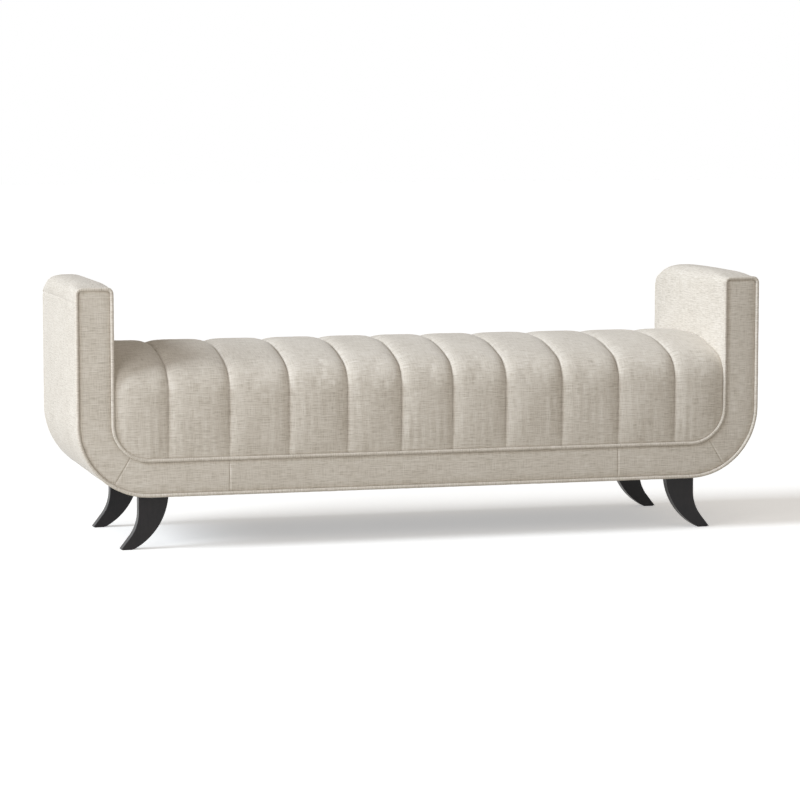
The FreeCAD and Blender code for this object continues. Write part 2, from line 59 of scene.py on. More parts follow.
WHITE = "#FFFFFF"
NOISE_BREAK = 0.55  # strength of each finer layer of a noise
NOISE_LOW, NOISE_HIGH = 0.3, 0.7  # nearly all of a noise's values lie between these

Array = np.ndarray
Piece = bpy.types.Object
Socket = bpy.types.NodeSocket
Tree = bpy.types.NodeTree
Pair = tuple[float, float]
Triple = tuple[float, float, float]


class Signed(Enum):
    """A side of the bench, as the sign of its axis."""

    @property
    def word(self) -> str:
        """Its name in the names of nodes and pieces."""
        return self.name.lower()


class Face(Signed):
    """The two long sides of the bench, along Y."""

    FRONT = -1
    REAR = 1


class Side(Signed):
    """The two ends of the bench, along X."""

    LEFT = -1
    RIGHT = 1


class Slot(Enum):
    """Material slots of the record."""

    LINEN = "linen"
    BLACK_LACQUER = "black_lacquer"
    FELT = "felt"
    LINING_CLOTH = "lining_cloth"
    STEEL = "steel"
    HARDBOARD = "hardboard"
    PLYWOOD = "plywood"
    FRAME_WOOD = "frame_wood"


@dataclass(frozen=True)
class BodySizes:
    """Main sizes of the upholstered body, from the floor under the middle of the bench."""

    half_width: float = 914.5
    underside: float = 138.0
    band: float = 98.0
    corner_radius: float = 188.0
    facing_y: float = 264.0
    front_top: float = 671.5
    rear_top: float = 631.2
    front_top_radius: float = 12.0
    rear_top_radius: float = 4.5
    arm_crown: float = 674.0
    arm_seam: float = 632.0
    welt_radius: float = 4.5
    wrap_end: float = 754.0

    @property
    def corner_x(self) -> float:
        """Middle of the lower corner's curve, along the bench."""
        return self.half_width - self.corner_radius

    @property
    def corner_z(self) -> float:
        """Middle of the lower corner's curve, above the floor."""
        return self.underside + self.corner_radius

    @property
    def inner_x(self) -> float:
        """Inner edge of the facing's uprights."""
        return self.half_width - self.band

    @property
    def inner_z(self) -> float:
        """Upper edge of the facing's lower run."""
        return self.underside + self.band

    @property
    def inner_radius(self) -> float:
        """Inner radius of the facing's lower corners."""
        return self.corner_radius - self.band

    def top(self, face: Face) -> float:
        """Top of one side's facing, welt included."""
        return self.front_top if face is Face.FRONT else self.rear_top

    def top_radius(self, face: Face) -> float:
        """Radius of the welt at the top corners of one side's facing."""
        return self.front_top_radius if face is Face.FRONT else self.rear_top_radius


def linear(code: str) -> tuple[float, float, float, float]:
    """Turns an sRGB hex colour into linear values.

    Args:
        code: Colour such as "#C0B8AA".

    Returns:
        Linear red, green, blue and an alpha of one.
    """
    parts = [int(code[start:start + 2], 16) / 255 for start in (1, 3, 5)]
    red, green, blue = [p / 12.92 if p <= 0.04045 else ((p + 0.055) / 1.055) ** 2.4 for p in parts]
    return red, green, blue, 1.0


def add_node(tree: Tree, kind: str, inputs: dict[Any, Any] | None = None, **settings: Any) -> Any:
    """Adds a node with its settings and links.

    Args:
        tree: Tree that takes the node.
        kind: Identifier of the node's type.
        inputs: Values or output sockets, by input name or number.
        **settings: Properties of the node.

    Returns:
        The new node's outputs.
    """
    made = tree.nodes.new(kind)
    for key, value in settings.items():
        setattr(made, key, value)
    for key, value in (inputs or {}).items():
        if isinstance(value, Socket):
            tree.links.new(value, made.inputs[key])
        else:
            made.inputs[key].default_value = value
    return made.outputs


def ramp(tree: Tree, factor: Socket, stops: tuple[tuple[float, str], ...]) -> Socket:
    """Adds a colour ramp.

    Args:
        tree: Tree that takes the ramp.
        factor: Socket that drives it.
        stops: Places from 0 to 1 with hex colours.

    Returns:
        The ramp's colour socket.
    """
    colour = add_node(tree, "ShaderNodeValToRGB", {0: factor})[0]
    elements = colour.node.color_ramp.elements
    while len(elements) < len(stops):
        elements.new(1.0)
    for element, (place, code) in zip(elements, stops):
        element.position = place
        element.color = linear(code)
    return colour


def weighted_sum(tree: Tree, values: list[Socket], shares: list[float]) -> Socket:
    """Adds up values by their shares.

    Args:
        tree: Tree that takes the sum.
        values: Sockets of the values.
        shares: Share of each; those without a share are left out.

    Returns:
        The sum's socket.
    """
    total: Any = 0.0
    for value, share in zip(values, shares):
        if share:
            step = {0: value, 1: share, 2: total}
            total = add_node(tree, "ShaderNodeMath", step, operation="MULTIPLY_ADD")[0]
    return total


@dataclass(frozen=True, kw_only=True)
class Pattern:
    """A pattern of a finish, with its shares in the finish's tone, relief and gloss."""

    tone: float = 1.0
    relief: float = 0.0
    gloss: float = 0.0

    def value(self, tree: Tree, place: Socket) -> Socket:
        """Adds the pattern's nodes on coordinates in metres and gives its value."""
        raise NotImplementedError


@dataclass(frozen=True, kw_only=True)
class Grain(Pattern):
    """Noise whose grains have a real size along each axis."""

    sizes_mm: Triple
    detail: float

    def value(self, tree: Tree, place: Socket) -> Socket:
        """Adds the noise.

        Args:
            tree: Tree of the material.
            place: Coordinates in metres.

        Returns:
            The noise's value, around one half.
        """
        scale = [1 / (size * MM) for size in self.sizes_mm]
        mapped = add_node(tree, "ShaderNodeMapping", {"Vector": place, "Scale": scale})[0]
        noise = {"Vector": mapped, "Scale": 1.0, "Detail": self.detail, "Roughness": NOISE_BREAK}
        return add_node(tree, "ShaderNodeTexNoise", noise)[0]


@dataclass(frozen=True, kw_only=True)
class Weave(Pattern):
    """Even over and under of crossing threads."""

    size_mm: float

    def value(self, tree: Tree, place: Socket) -> Socket:
        """Adds two crossing waves.

        Args:
            tree: Tree of the material.
            place: Coordinates in metres.

        Returns:
            The weave's height, from minus one to one.
        """
        axes = add_node(tree, "ShaderNodeSeparateXYZ", {0: place})
        waves = {}
        for axis in (0, 1):
            turns = {0: axes[axis], 1: 2 * math.pi / (self.size_mm * MM)}
            turn = add_node(tree, "ShaderNodeMath", turns, operation="MULTIPLY")[0]
            waves[axis] = add_node(tree, "ShaderNodeMath", {0: turn}, operation="SINE")[0]
        return add_node(tree, "ShaderNodeMath", waves, operation="MULTIPLY")[0]


@dataclass(frozen=True, kw_only=True)
class Finish:
    """A surface finish, made once as a node material on object coordinates or on the cloth's own UV."""

    name: str
    slot: Slot
    patterns: tuple[Pattern, ...]
    colours: tuple[tuple[float, str], ...]
    roughness: Pair
    relief_mm: float = 0.0
    relief_strength: float = 0.5
    specular: float = 0.5
    metallic: float = 0.0
    sheen: float = 0.0
    on_cloth: bool = False

    def shader(self, tree: Tree) -> Socket:
        """Adds the finish's patterns, colours, gloss and relief.

        Args:
            tree: Tree of the material.

        Returns:
            The shader's socket.
        """
        if self.on_cloth:
            place = add_node(tree, "ShaderNodeUVMap", uv_map=CLOTH_UV)[0]
        else:
            place = add_node(tree, "ShaderNodeTexCoord")["Object"]
        values = [pattern.value(tree, place) for pattern in self.patterns]
        tone = weighted_sum(tree, values, [pattern.tone for pattern in self.patterns])
        low, high = self.roughness
        looks = {"Base Color": ramp(tree, tone, self.colours), "Roughness": low, "Metallic": self.metallic,
                 "Sheen Weight": self.sheen, "Specular IOR Level": self.specular}
        if high > low:
            gloss = weighted_sum(tree, values, [pattern.gloss for pattern in self.patterns])
            rough = {0: gloss, 1: NOISE_LOW, 2: NOISE_HIGH, 3: low, 4: high}
            looks["Roughness"] = add_node(tree, "ShaderNodeMapRange", rough)[0]
        if self.relief_mm:
            height = weighted_sum(tree, values, [pattern.relief for pattern in self.patterns])
            relief = {"Strength": self.relief_strength, "Distance": self.relief_mm * MM, "Height": height}
            looks["Normal"] = add_node(tree, "ShaderNodeBump", relief)[0]
        return add_node(tree, "ShaderNodeBsdfPrincipled", looks)[0]

    def material(self) -> bpy.types.Material:
        """Gives the finish's material, which is made the first time.

        Returns:
            The material.
        """
        made = bpy.data.materials.get(self.name)
        if made is None:
            made = bpy.data.materials.new(self.name)
            tree = cleared_tree(made)
            add_node(tree, "ShaderNodeOutputMaterial", {"Surface": self.shader(tree)})
        return made


def cleared_tree(owner: bpy.types.Material | bpy.types.World) -> Tree:
    """Gives a material or world an empty node tree.

    Args:
        owner: Material or world.

    Returns:
        Its tree.
    """
    owner.use_nodes = True
    owner.node_tree.nodes.clear()
    return owner.node_tree


# Thick and thin crosswise threads, upright threads, their over and under, and large soft patches of tone.
# Real threads are about 0.8 mm apart; they are drawn coarser, so that they show from across a room.
THREADS = (
    Grain(sizes_mm=(22.0, 1.9, 22.0), detail=2.0, tone=0.46, relief=0.46, gloss=0.46),
    Grain(sizes_mm=(80.0, 2.66, 22.0), detail=1.0, tone=0.24, relief=0.24, gloss=0.24),
    Grain(sizes_mm=(1.9, 34.0, 22.0), detail=2.0, tone=0.3, relief=0.3, gloss=0.3),
    Weave(size_mm=1.7, tone=0.02, relief=0.1),
    Grain(sizes_mm=(170.0, 170.0, 170.0), detail=2.0, tone=0.12),
)
# Linen-look cloth: soft crosswise streaks, a broken upright line and no gloss.
LINEN = Finish(name="linen_look_upholstery_cloth", slot=Slot.LINEN, patterns=THREADS, roughness=(0.84, 0.96),
               colours=((0.4, "#B6AEA1"), (0.56, "#D8D1C6"), (0.72, "#EAE5DD")), relief_mm=0.26,
               relief_strength=0.7, specular=0.25, sheen=0.2, on_cloth=True)
# Thin black lining: the same weave, nearly without colour or sheen.
LINING = replace(LINEN, name="black_lining_cloth", slot=Slot.LINING_CLOTH, sheen=0.05,
                 colours=((0.4, "#141416"), (0.56, "#1F1F21"), (0.72, "#2C2C2E")))
# Sprayed black lacquer: near black with a soft highlight along the edges, the grain just felt under it.
LACQUER = Finish(name="satin_black_lacquer", slot=Slot.BLACK_LACQUER, roughness=(0.3, 0.44), relief_mm=0.12,
                 patterns=(Grain(sizes_mm=(4.5, 4.5, 60.0), detail=3.0, tone=0.5, relief=1.0),
                           Grain(sizes_mm=(40.0, 40.0, 40.0), detail=3.0, gloss=1.0)),
                 colours=((0.45, "#111012"), (1.0, "#221F20")), relief_strength=0.35, specular=0.32)
# Drawn and zinc-plated steel: grey, softly bright, with fine draw marks.
STEEL = Finish(name="drawn_steel", slot=Slot.STEEL, roughness=(0.28, 0.46), metallic=1.0,
               patterns=(Grain(sizes_mm=(2.0, 2.0, 2.0), detail=3.0, gloss=1.0),),
               colours=((NOISE_LOW, "#8F9194"), (NOISE_HIGH, "#B9BCC0")))
# Pressed wool felt: dark, without gloss, with short matted fibres.
FELT = Finish(name="pressed_felt", slot=Slot.FELT, roughness=(0.95, 0.95), relief_mm=0.3, relief_strength=0.8,
              patterns=(Grain(sizes_mm=(1.2, 1.2, 1.2), detail=4.0, relief=1.0),), sheen=0.3,
              colours=((NOISE_LOW, "#2B2622"), (NOISE_HIGH, "#463F38")))
# Sawn beech: pale and matt, with long streaks of grain along the bench.
FRAME_WOOD = Finish(name="sawn_beech", slot=Slot.FRAME_WOOD, roughness=(0.65, 0.65), relief_mm=0.2,
                    patterns=(Grain(sizes_mm=(160.0, 3.0, 3.0), detail=4.0, relief=1.0),),
                    colours=((NOISE_LOW, "#B08A60"), (NOISE_HIGH, "#CDAA80")))
# Birch plywood: the same streaks, paler.
PLYWOOD = replace(FRAME_WOOD, name="birch_plywood", slot=Slot.PLYWOOD,
                  colours=((NOISE_LOW, "#BE9F74"), (NOISE_HIGH, "#D8BE97")))
# Hardboard: brown and matt, with short pressed fibres.
HARDBOARD = replace(FRAME_WOOD, name="brown_hardboard", slot=Slot.HARDBOARD,
                    patterns=(Grain(sizes_mm=(6.0, 1.5, 1.5), detail=4.0, relief=1.0),),
                    colours=((NOISE_LOW, "#5E4530"), (NOISE_HIGH, "#7A5B40")))
CARRIED = {finish.slot.value: finish for finish in (LACQUER, STEEL, FELT, HARDBOARD, PLYWOOD, FRAME_WOOD)}


def linked(name: str, data: bpy.types.ID) -> Piece:
    """Makes an object and links it to the scene.

    Args:
        name: Name of the object.
        data: Its mesh, lamp or camera.

    Returns:
        The new object, at the origin.
    """
    made = bpy.data.objects.new(name, data)
    bpy.context.scene.collection.objects.link(made)
    return made


def vectors(items: Any, field: str) -> Array:
    """Reads one vector of each item.

    Args:
        items: Vertices or normals of a mesh.
        field: Name of the vector.

    Returns:
        One row for each item.
    """
    flat = np.empty(len(items) * 3)
    items.foreach_get(field, flat)
    return flat.reshape(-1, 3)


def grid(*axes: Any) -> Array:
    """Points from their coordinates, all spread over one grid."""
    return np.stack(np.broadcast_arrays(*axes), axis=-1)


def lengths_along(points: Array) -> Array:
    """Distance of each point of a line from its start, along the line."""
    return np.concatenate([[0.0], np.cumsum(np.linalg.norm(np.diff(points, axis=0), axis=1))])


def crowded(cells: int, crowding: float) -> Array:
    """Places from -1 to 1, closer together towards both ends."""
    even = np.linspace(-1, 1, cells + 1)
    return even + crowding * np.sin(math.pi * even)


def edge_dip(distance: Array, width: float) -> Array:
    """Share of a seam's dip at a distance from it: one on the seam and nothing a few widths away."""
    return np.exp(-(np.maximum(distance, 0) / width) ** 2)


def unevenness(u: Array, v: Array, length: float, seed: int, count: int = 7) -> Array:
    """Smooth hand-made unevenness from a few seeded waves.

    Args:
        u: First place on the surface, in millimetres.
        v: Second place on the surface.
        length: Typical length of a wave.
        seed: Seed of the waves.
        count: How many waves are added.

    Returns:
        Heights of about plus or minus one.
    """
    rng = np.random.default_rng(seed)
    total = np.zeros(np.broadcast(u, v).shape)
    for _ in range(count):
        angle, phase = rng.uniform(0, 2 * math.pi, 2)
        wave = length * rng.uniform(0.6, 1.6)
        total += np.sin(2 * math.pi * (u * math.cos(angle) + v * math.sin(angle)) / wave + phase)
    return total / math.sqrt(count)


def rounded_outline(corners: list[Triple], step: float, arc_points: int = 25) -> Array:
    """Closed outline of straight runs and tangent arcs.

    Args:
        corners: Corners as (x, z, radius), in order.
        step: Distance between neighbouring points.
        arc_points: Points on each arc before they are spaced evenly.

    Returns:
        Evenly spaced points, one (x, z) each.
    """
    dense: list[Array] = []
    places = [np.array(corner[:2]) for corner in corners]
    for number, (_, _, radius) in enumerate(corners):
        here = places[number]
        back = places[number - 1] - here
        back = back / np.linalg.norm(back)
        ahead = places[(number + 1) % len(places)] - here
        ahead = ahead / np.linalg.norm(ahead)
        half = (math.pi - math.acos(float(np.dot(back, ahead)))) / 2
        inward = (back + ahead) / np.linalg.norm(back + ahead)
        middle = here + inward * radius / math.cos(half)
        first = here + back * radius * math.tan(half) - middle
        last = here + ahead * radius * math.tan(half) - middle
        for turn in np.linspace(0, 2 * half, arc_points):
            spoke = first * math.sin(2 * half - turn) + last * math.sin(turn)
            dense.append(middle + spoke / math.sin(2 * half))
    points = np.array(dense + dense[:1])
    runs = lengths_along(points)
    even = np.linspace(0, runs[-1], int(runs[-1] / step) + 1)[:-1]
    return grid(*(np.interp(even, runs, places) for places in points.T))


def rolled_edge(reach: float, radius: float, turn: float, cells: tuple[int, int]) -> tuple[Array, Array]:
    """Line of a rolled edge: a small arc from its upright end, then a large one to its level crown.

    Args:
        reach: Level distance from the crown to the upright end.
        radius: Radius of the small arc.
        turn: Angle of the small arc.
        cells: Steps in the small and in the large arc.

    Returns:
        Points (outwards, upwards) from the crown, in order from the upright end, and outward normals.
    """
    large = (reach - radius * (1 - math.cos(turn))) / math.cos(turn)
    turns = np.linspace(0, turn, cells[0] + 1)
    turns = np.append(turns, np.linspace(turn, QUARTER, cells[1] + 1)[1:])
    normals = grid(np.cos(turns), np.sin(turns))
    join = cells[0] + 1
    middle = np.array([0.0, -large])
    small = middle + (large - radius) * normals[cells[0]] + radius * normals[:join]
    return np.concatenate([small, middle + large * normals[join:]]), normals


def grid_object(name: str, points: Array, uv: Array, outside: Array,
                wrap: tuple[bool, bool] = (False, False), keep: Array | None = None) -> Piece:
    """Makes a smooth quad mesh from a grid of points.

    Args:
        name: Name of the piece.
        points: Grid of points in millimetres, shape (rows, columns, 3).
        uv: Cloth coordinates in millimetres, with one row or column more where the grid wraps.
        outside: Direction, or grid of directions, that the faces look towards.
        wrap: Whether the rows and the columns close on themselves.
        keep: Cells that are made, or all of them.

    Returns:
        The new object, at the origin.
    """
    rows, columns = points.shape[:2]
    index = np.arange(rows * columns).reshape(rows, columns)
    index = np.pad(index, [(0, int(closed)) for closed in wrap], mode="wrap")
    loops = np.arange(uv.shape[0] * uv.shape[1]).reshape(uv.shape[:2])

    def corners(of: Array) -> Array:
        """Four corners of every cell."""
        cells = np.stack([of[:-1, :-1], of[1:, :-1], of[1:, 1:], of[:-1, 1:]], axis=-1)
        return cells.reshape(-1, 4) if keep is None else cells[keep].reshape(-1, 4)

    faces, face_loops = corners(index), corners(loops)
    flat = points.reshape(-1, 3) * MM
    first, second = flat[faces[:, 2]] - flat[faces[:, 0]], flat[faces[:, 3]] - flat[faces[:, 1]]
    looks = np.broadcast_to(outside, points.shape).reshape(-1, 3)[faces[:, 0]]
    if np.sum(np.cross(first, second) * looks) < 0:
        faces, face_loops = faces[:, ::-1], face_loops[:, ::-1]
    used, numbers = np.unique(faces, return_inverse=True)
    mesh = bpy.data.meshes.new(name)
    mesh.from_pydata(flat[used].tolist(), [], numbers.reshape(-1, 4).tolist())
    layer = mesh.uv_layers.new(name=CLOTH_UV)
    layer.data.foreach_set("uv", (uv.reshape(-1, 2)[face_loops.reshape(-1)] * MM).ravel())
    mesh.polygons.foreach_set("use_smooth", np.ones(len(faces), bool))
    mesh.update()
    return linked(name, mesh)


def thicken(piece: Piece, thickness: float) -> Piece:
    """Gives a sheet the cloth's thickness, inwards from its outer face.

    Args:
        piece: Sheet whose faces look outwards.
        thickness: Thickness in millimetres.

    Returns:
        The same piece.
    """
    wall = piece.modifiers.new("cloth_thickness", "SOLIDIFY")
    wall.thickness = thickness * MM
    wall.offset = -1.0
    wall.use_even_offset = False
    return piece


def hand_over(piece: Piece, finish: Finish, nodes: list[str]) -> None:
    """Dresses a piece and ties it to the CAD body.

    Args:
        piece: Finished piece at the origin.
        finish: Finish that it takes.
        nodes: CAD nodes that it stands for.
    """
    piece.data.materials.clear()
    piece.data.materials.append(finish.material())
    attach(piece, BODY)
    if nodes:
        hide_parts(*nodes)
    LOG.info("%s: %d faces, stands for %s", piece.name, len(piece.data.polygons), nodes)


@dataclass(frozen=True)
class ClothRun:
    """One cloth simulation of a sewn cover over its padding."""

    frames: int = 26
    quality: int = 6
    mass: float = 0.25
    damping: float = 4.0
    pressure: float = 1.2
    tension: float = 25.0
    bending: float = 0.01
    cap: float = 4.0
    start_noise: float = 0.1
    seed: int = 11

    def settle(self, piece: Piece, pinned: Array, cut: Array) -> None:
        """Lets the cover settle and keeps the result in its mesh.

        Args:
            piece: Cover in its first shape.
            pinned: Which points are sewn or tacked down.
            cut: Points of the cover as it was cut, in millimetres, whose lengths the cloth keeps.
        """
        mesh = piece.data
        start = vectors(mesh.vertices, "co")
        rough = np.random.default_rng(self.seed).normal(0, self.start_noise * MM, (len(start), 1))
        rough[pinned] = 0
        mesh.vertices.foreach_set("co", (start + vectors(mesh.vertex_normals, "vector") * rough).ravel())
        group = piece.vertex_groups.new(name="sewn_down")
        group.add(np.flatnonzero(pinned).tolist(), 1.0, "REPLACE")
        piece.shape_key_add(name="draped")
        as_cut = piece.shape_key_add(name="as_cut")
        as_cut.data.foreach_set("co", (cut.reshape(-1, 3) * MM).ravel())
        cloth = piece.modifiers.new("cover", "CLOTH")
        settings = cloth.settings
        settings.quality = self.quality
        settings.mass = self.mass
        settings.air_damping = self.damping
        for name in ("tension_stiffness", "compression_stiffness", "shear_stiffness"):
            setattr(settings, name, self.tension)
        settings.bending_stiffness = self.bending
        settings.use_pressure = True
        settings.uniform_pressure_force = self.pressure
        settings.effector_weights.gravity = 0.0
        settings.vertex_group_mass = group.name
        settings.rest_shape_key = as_cut
        cloth.collision_settings.use_collision = False
        cloth.point_cache.frame_start = 1
        cloth.point_cache.frame_end = self.frames
        for number in range(1, self.frames + 1):
            bpy.context.scene.frame_set(number)
        shown = piece.evaluated_get(bpy.context.evaluated_depsgraph_get())
        moved = vectors(shown.data.vertices, "co") - start
        piece.modifiers.remove(cloth)
        piece.shape_key_clear()
        piece.vertex_groups.clear()
        bpy.context.scene.frame_set(1)
        far = np.linalg.norm(moved, axis=1, keepdims=True)
        moved *= np.minimum(1.0, self.cap * MM / np.maximum(far, TINY))
        mesh.vertices.foreach_set("co", (start + moved).ravel())
        mesh.update()
        LOG.info("%s settled: moved %.1f mm at most before the cap", piece.name, far.max() / MM)


@dataclass
class SeatCover:
    """Seat cover sewn into eleven channels that roll over the front and rear edges."""

    body: BodySizes
    half_length: float = 818.0
    crown: float = 514.0
    proud: float = 7.0
    seams: tuple[float, ...] = (69.0, 212.7, 366.5, 522.2, 679.6)
    seam_depth: float = 10.0
    seam_bite: float = 2.6
    pillow_power: float = 5.4
    end_power: float = 2.8
    end_gap: float = 1.0
    roll_radius: float = 78.0
    roll_turn: float = math.radians(70.0)
    foot_sink: float = 1.5
    foot_height: float = 110.0
    foot_tuck: float = 7.5
    foot_flat: float = 0.7
    cells_across: int = 30
    crowding: float = 0.12
    cells_up: int = 26
    cells_over: tuple[int, int] = (15, 32)
    cut_ease: float = 0.045
    gather: float = 0.6
    gather_width: float = 21.0
    gather_run: float = 240.0
    gather_start: float = 20.0
    gather_fade: float = 140.0
    gather_end: float = 235.0
    gather_power: int = 4
    gather_waves: int = 9
    cloth: float = 1.5

    def stations(self) -> tuple[Array, Array, Array]:
        """Places along the bench.

        Returns:
            Place of each column, its share of its channel's half width, and whether it is a seam.
        """
        ends = [*self.seams, self.half_length]
        ends = [-place for place in reversed(ends)] + ends
        shares = crowded(self.cells_across, self.crowding)[:-1]
        places = [(start + end) / 2 + shares * (end - start) / 2 for start, end in zip(ends, ends[1:])]
        share = np.append(np.tile(shares, len(places)), 1.0)
        return np.append(np.concatenate(places), self.half_length), share, np.abs(np.abs(share) - 1) < TINY

    def foot_line(self, x: Array) -> Array:
        """Height of the welt's upper edge under each column."""
        reach = np.clip(np.abs(x) - self.body.corner_x, 0, self.body.inner_radius)
        return self.body.corner_z - np.sqrt(self.body.inner_radius ** 2 - reach ** 2) - self.foot_sink

    def add_gathers(self, piece: Piece, uv: Array) -> None:
        """Raises the upright gathers that the sewing leaves in the channel fronts.

        Args:
            piece: Settled cover.
            uv: Grid of cloth coordinates, in millimetres.
        """
        _, share, _ = self.stations()
        wide, along = uv[..., 0], uv[..., 1]
        rise = np.minimum(along - along[0], along[-1] - along)
        streaks = unevenness(wide / self.gather_width, along / self.gather_run, 1.0, seed=71,
                             count=self.gather_waves)
        fade = np.clip(rise / self.gather_start, 0, 1)
        fade = fade * np.clip((self.gather_end - rise) / self.gather_fade, 0, 1)
        height = self.gather * streaks * fade * (1 - np.abs(share) ** self.gather_power)
        mesh = piece.data
        lift = vectors(mesh.vertex_normals, "vector") * height.reshape(-1, 1) * MM
        mesh.vertices.foreach_set("co", (vectors(mesh.vertices, "co") + lift).ravel())
        mesh.update()

    def surface(self, tucked: bool) -> tuple[Array, Array]:
        """Points of the cover.

        Args:
            tucked: Whether the channels are drawn in at the foot, as sewn, or run straight, as cut.

        Returns:
            Grid of points and grid of cloth coordinates, in millimetres.
        """
        x, share, seam = self.stations()
        at_end = (np.abs(x) > self.seams[-1] + self.end_gap) & (x * share > 0)
        power = np.where(at_end, self.end_power, self.pillow_power)
        drawn_in = self.seam_depth * np.abs(share) ** power + self.seam_bite * seam
        reach = self.body.facing_y + self.proud
        line, normals = rolled_edge(reach, self.roll_radius, self.roll_turn, self.cells_over)
        face_top = self.crown + line[0, 1]
        foot = self.foot_line(x)
        z_up = foot + (face_top - foot) * np.linspace(0, 1, self.cells_up + 1)[:, None]
        y_up = drawn_in - reach + np.zeros_like(z_up)
        if tucked:
            near = np.clip(1 - (z_up - foot) / self.foot_height, 0, 1) ** 2
            y_up = y_up + (self.foot_tuck - self.foot_flat * drawn_in) * near
        over = line[1:, None, :] - normals[1:, None, :] * drawn_in[None, :, None]
        climbed = np.broadcast_to(lengths_along(line)[1:, None], over.shape[:2])
        y = np.concatenate([y_up, -over[..., 0]])
        z = np.concatenate([z_up, self.crown + over[..., 1]])
        run = np.concatenate([z_up - face_top, climbed])
        y = np.concatenate([y, -y[-2::-1]])
        z = np.concatenate([z, z[-2::-1]])
        run = np.concatenate([run, 2 * run[-1:] - run[-2::-1]])
        return grid(x, y, z), grid(x, run)

    def build(self) -> Piece:
        """Makes the cover and lets it settle.

        Returns:
            The seat cover.
        """
        sewn, uv = self.surface(tucked=True)
        looks = sewn - np.array([0.0, 0.0, self.body.inner_z])
        looks[..., 0] = 0
        piece = grid_object("seat_channel_cover", sewn, uv, looks)
        cut, _ = self.surface(tucked=False)
        cut[..., 0] *= 1 + self.cut_ease
        _, _, seam = self.stations()
        pinned = np.broadcast_to(seam, sewn.shape[:2]).copy()
        pinned[[0, -1]] = True
        ClothRun().settle(piece, pinned.ravel(), cut)
        self.add_gathers(piece, uv)
        return thicken(piece, self.cloth)

    def dress(self, piece: Piece) -> None:
        """Covers the seat in linen and sets it over the CAD seat."""
        hand_over(piece, LINEN, ["seat_cover", "seat_foam"])


@dataclass
class Facing:
    """U-shaped facing of one long side, in five sewn panels over thin padding."""

    body: BodySizes
    face: Face
    edge_y: float = 257.5
    crown_y: float = 264.2
    crown_power: float = 5.0
    edge_inset: float = 5.0
    top_round: float = 16.0
    top_power: int = 3
    mitre: float = math.radians(59)
    seam_x: float = 522.2
    seam_drop: float = 1.6
    seam_width: float = 1.7
    seam_edge_share: float = 0.45
    seam_rows: tuple[float, ...] = (0.8, 1.8, 3.2, 5.0)
    uneven: float = 0.4
    uneven_run: float = 120.0
    cells_across: int = 28
    crowding: float = 0.16
    step: float = 7.0
    cloth: float = 1.5

    @property
    def straight(self) -> float:
        """Length of the arm's upright run, above the lower corner."""
        return self.body.top(self.face) - self.edge_inset - self.body.corner_z

    @property
    def middle_radius(self) -> float:
        """Radius of the lower corner along the middle of the band."""
        return self.body.corner_radius - self.body.band / 2

    def runs(self) -> dict[str, Pair]:
        """Where each panel starts and ends along the right half of the U.

        Returns:
            Distances from the top of the arm, by the panel's kind.
        """
        at_mitre = self.straight + self.middle_radius * self.mitre
        at_seam = self.straight + self.middle_radius * QUARTER + self.body.corner_x - self.seam_x
        far_seam = at_seam + 2 * self.seam_x
        return {"arm": (0.0, at_mitre), "lower": (at_mitre, at_seam), "middle": (at_seam, far_seam)}

    def place(self, along: Array, inset: Array) -> tuple[Array, Array]:
        """Front-view place of points on the band.

        Args:
            along: Distance along the middle of the band from the top of the right arm.
            inset: Distance in from the outer edge.

        Returns:
            Places along the bench and heights.
        """
        past = along - self.straight
        turn = np.clip(past / self.middle_radius, 0, QUARTER)
        after = np.maximum(past - self.middle_radius * QUARTER, 0)
        radius = self.body.corner_radius - inset
        x = self.body.corner_x + radius * np.cos(turn) - after
        return x, self.body.corner_z - radius * np.sin(turn) + np.maximum(-past, 0)

    def panel(self, name: str, kind: str, side: Side) -> Piece:
        """Makes one panel.

        Args:
            name: Name of the piece.
            kind: Which run of the band it covers.
            side: Which end of the bench it is at.

        Returns:
            The panel.
        """
        start, end = self.runs()[kind]
        even = np.linspace(start, end, int((end - start) / self.step) + 1)
        near = np.array(self.seam_rows)
        along = np.unique(np.concatenate([even, start + near, end - near]))[:, None]
        across = crowded(self.cells_across, self.crowding)[None, :]
        half = self.body.band / 2 - self.edge_inset
        x, z = self.place(along, self.body.band / 2 + across * half)
        lift = 1 - np.abs(across) ** self.crown_power
        dip = edge_dip(end - along, self.seam_width)
        if kind == "arm":
            lift = lift * (1 - np.clip(1 - along / self.top_round, 0, 1) ** self.top_power)
        else:
            dip = dip + edge_dip(along - start, self.seam_width)
        wave = unevenness(x, z, self.uneven_run, seed=len(name) + 3 * side.value + self.face.value)
        seam = self.seam_drop * dip * (self.seam_edge_share + (1 - self.seam_edge_share) * lift)
        y = self.edge_y + (self.crown_y - self.edge_y + self.uneven * wave) * lift - seam
        x = x * side.value
        looks = np.array([0.0, float(self.face.value), 0.0])
        made = grid_object(name, grid(x, y * self.face.value, z), grid(x, z), looks)
        return thicken(made, self.cloth)

    def build(self) -> dict[str, Piece]:
        """Makes the five panels.

        Returns:
            The panels, by the CAD node that each stands for.
        """
        panels = {}
        for side in Side:
            for kind in ("arm", "lower"):
                node = f"{side.word}_{self.face.word}_{kind}_facing"
                panels[node] = self.panel(f"{node}_panel", kind, side)
        node = f"{self.face.word}_middle_facing"
        panels[node] = self.panel(f"{node}_panel", "middle", Side.RIGHT)
        return panels

    def dress(self, panels: dict[str, Piece]) -> None:
        """Covers the panels in linen; the middle one also stands for the padding.

        Args:
            panels: The panels, by CAD node.
        """
        for node, panel in panels.items():
            padding = [f"{self.face.word}_facing_padding"] if "middle" in node else []
            hand_over(panel, LINEN, [node, *padding])


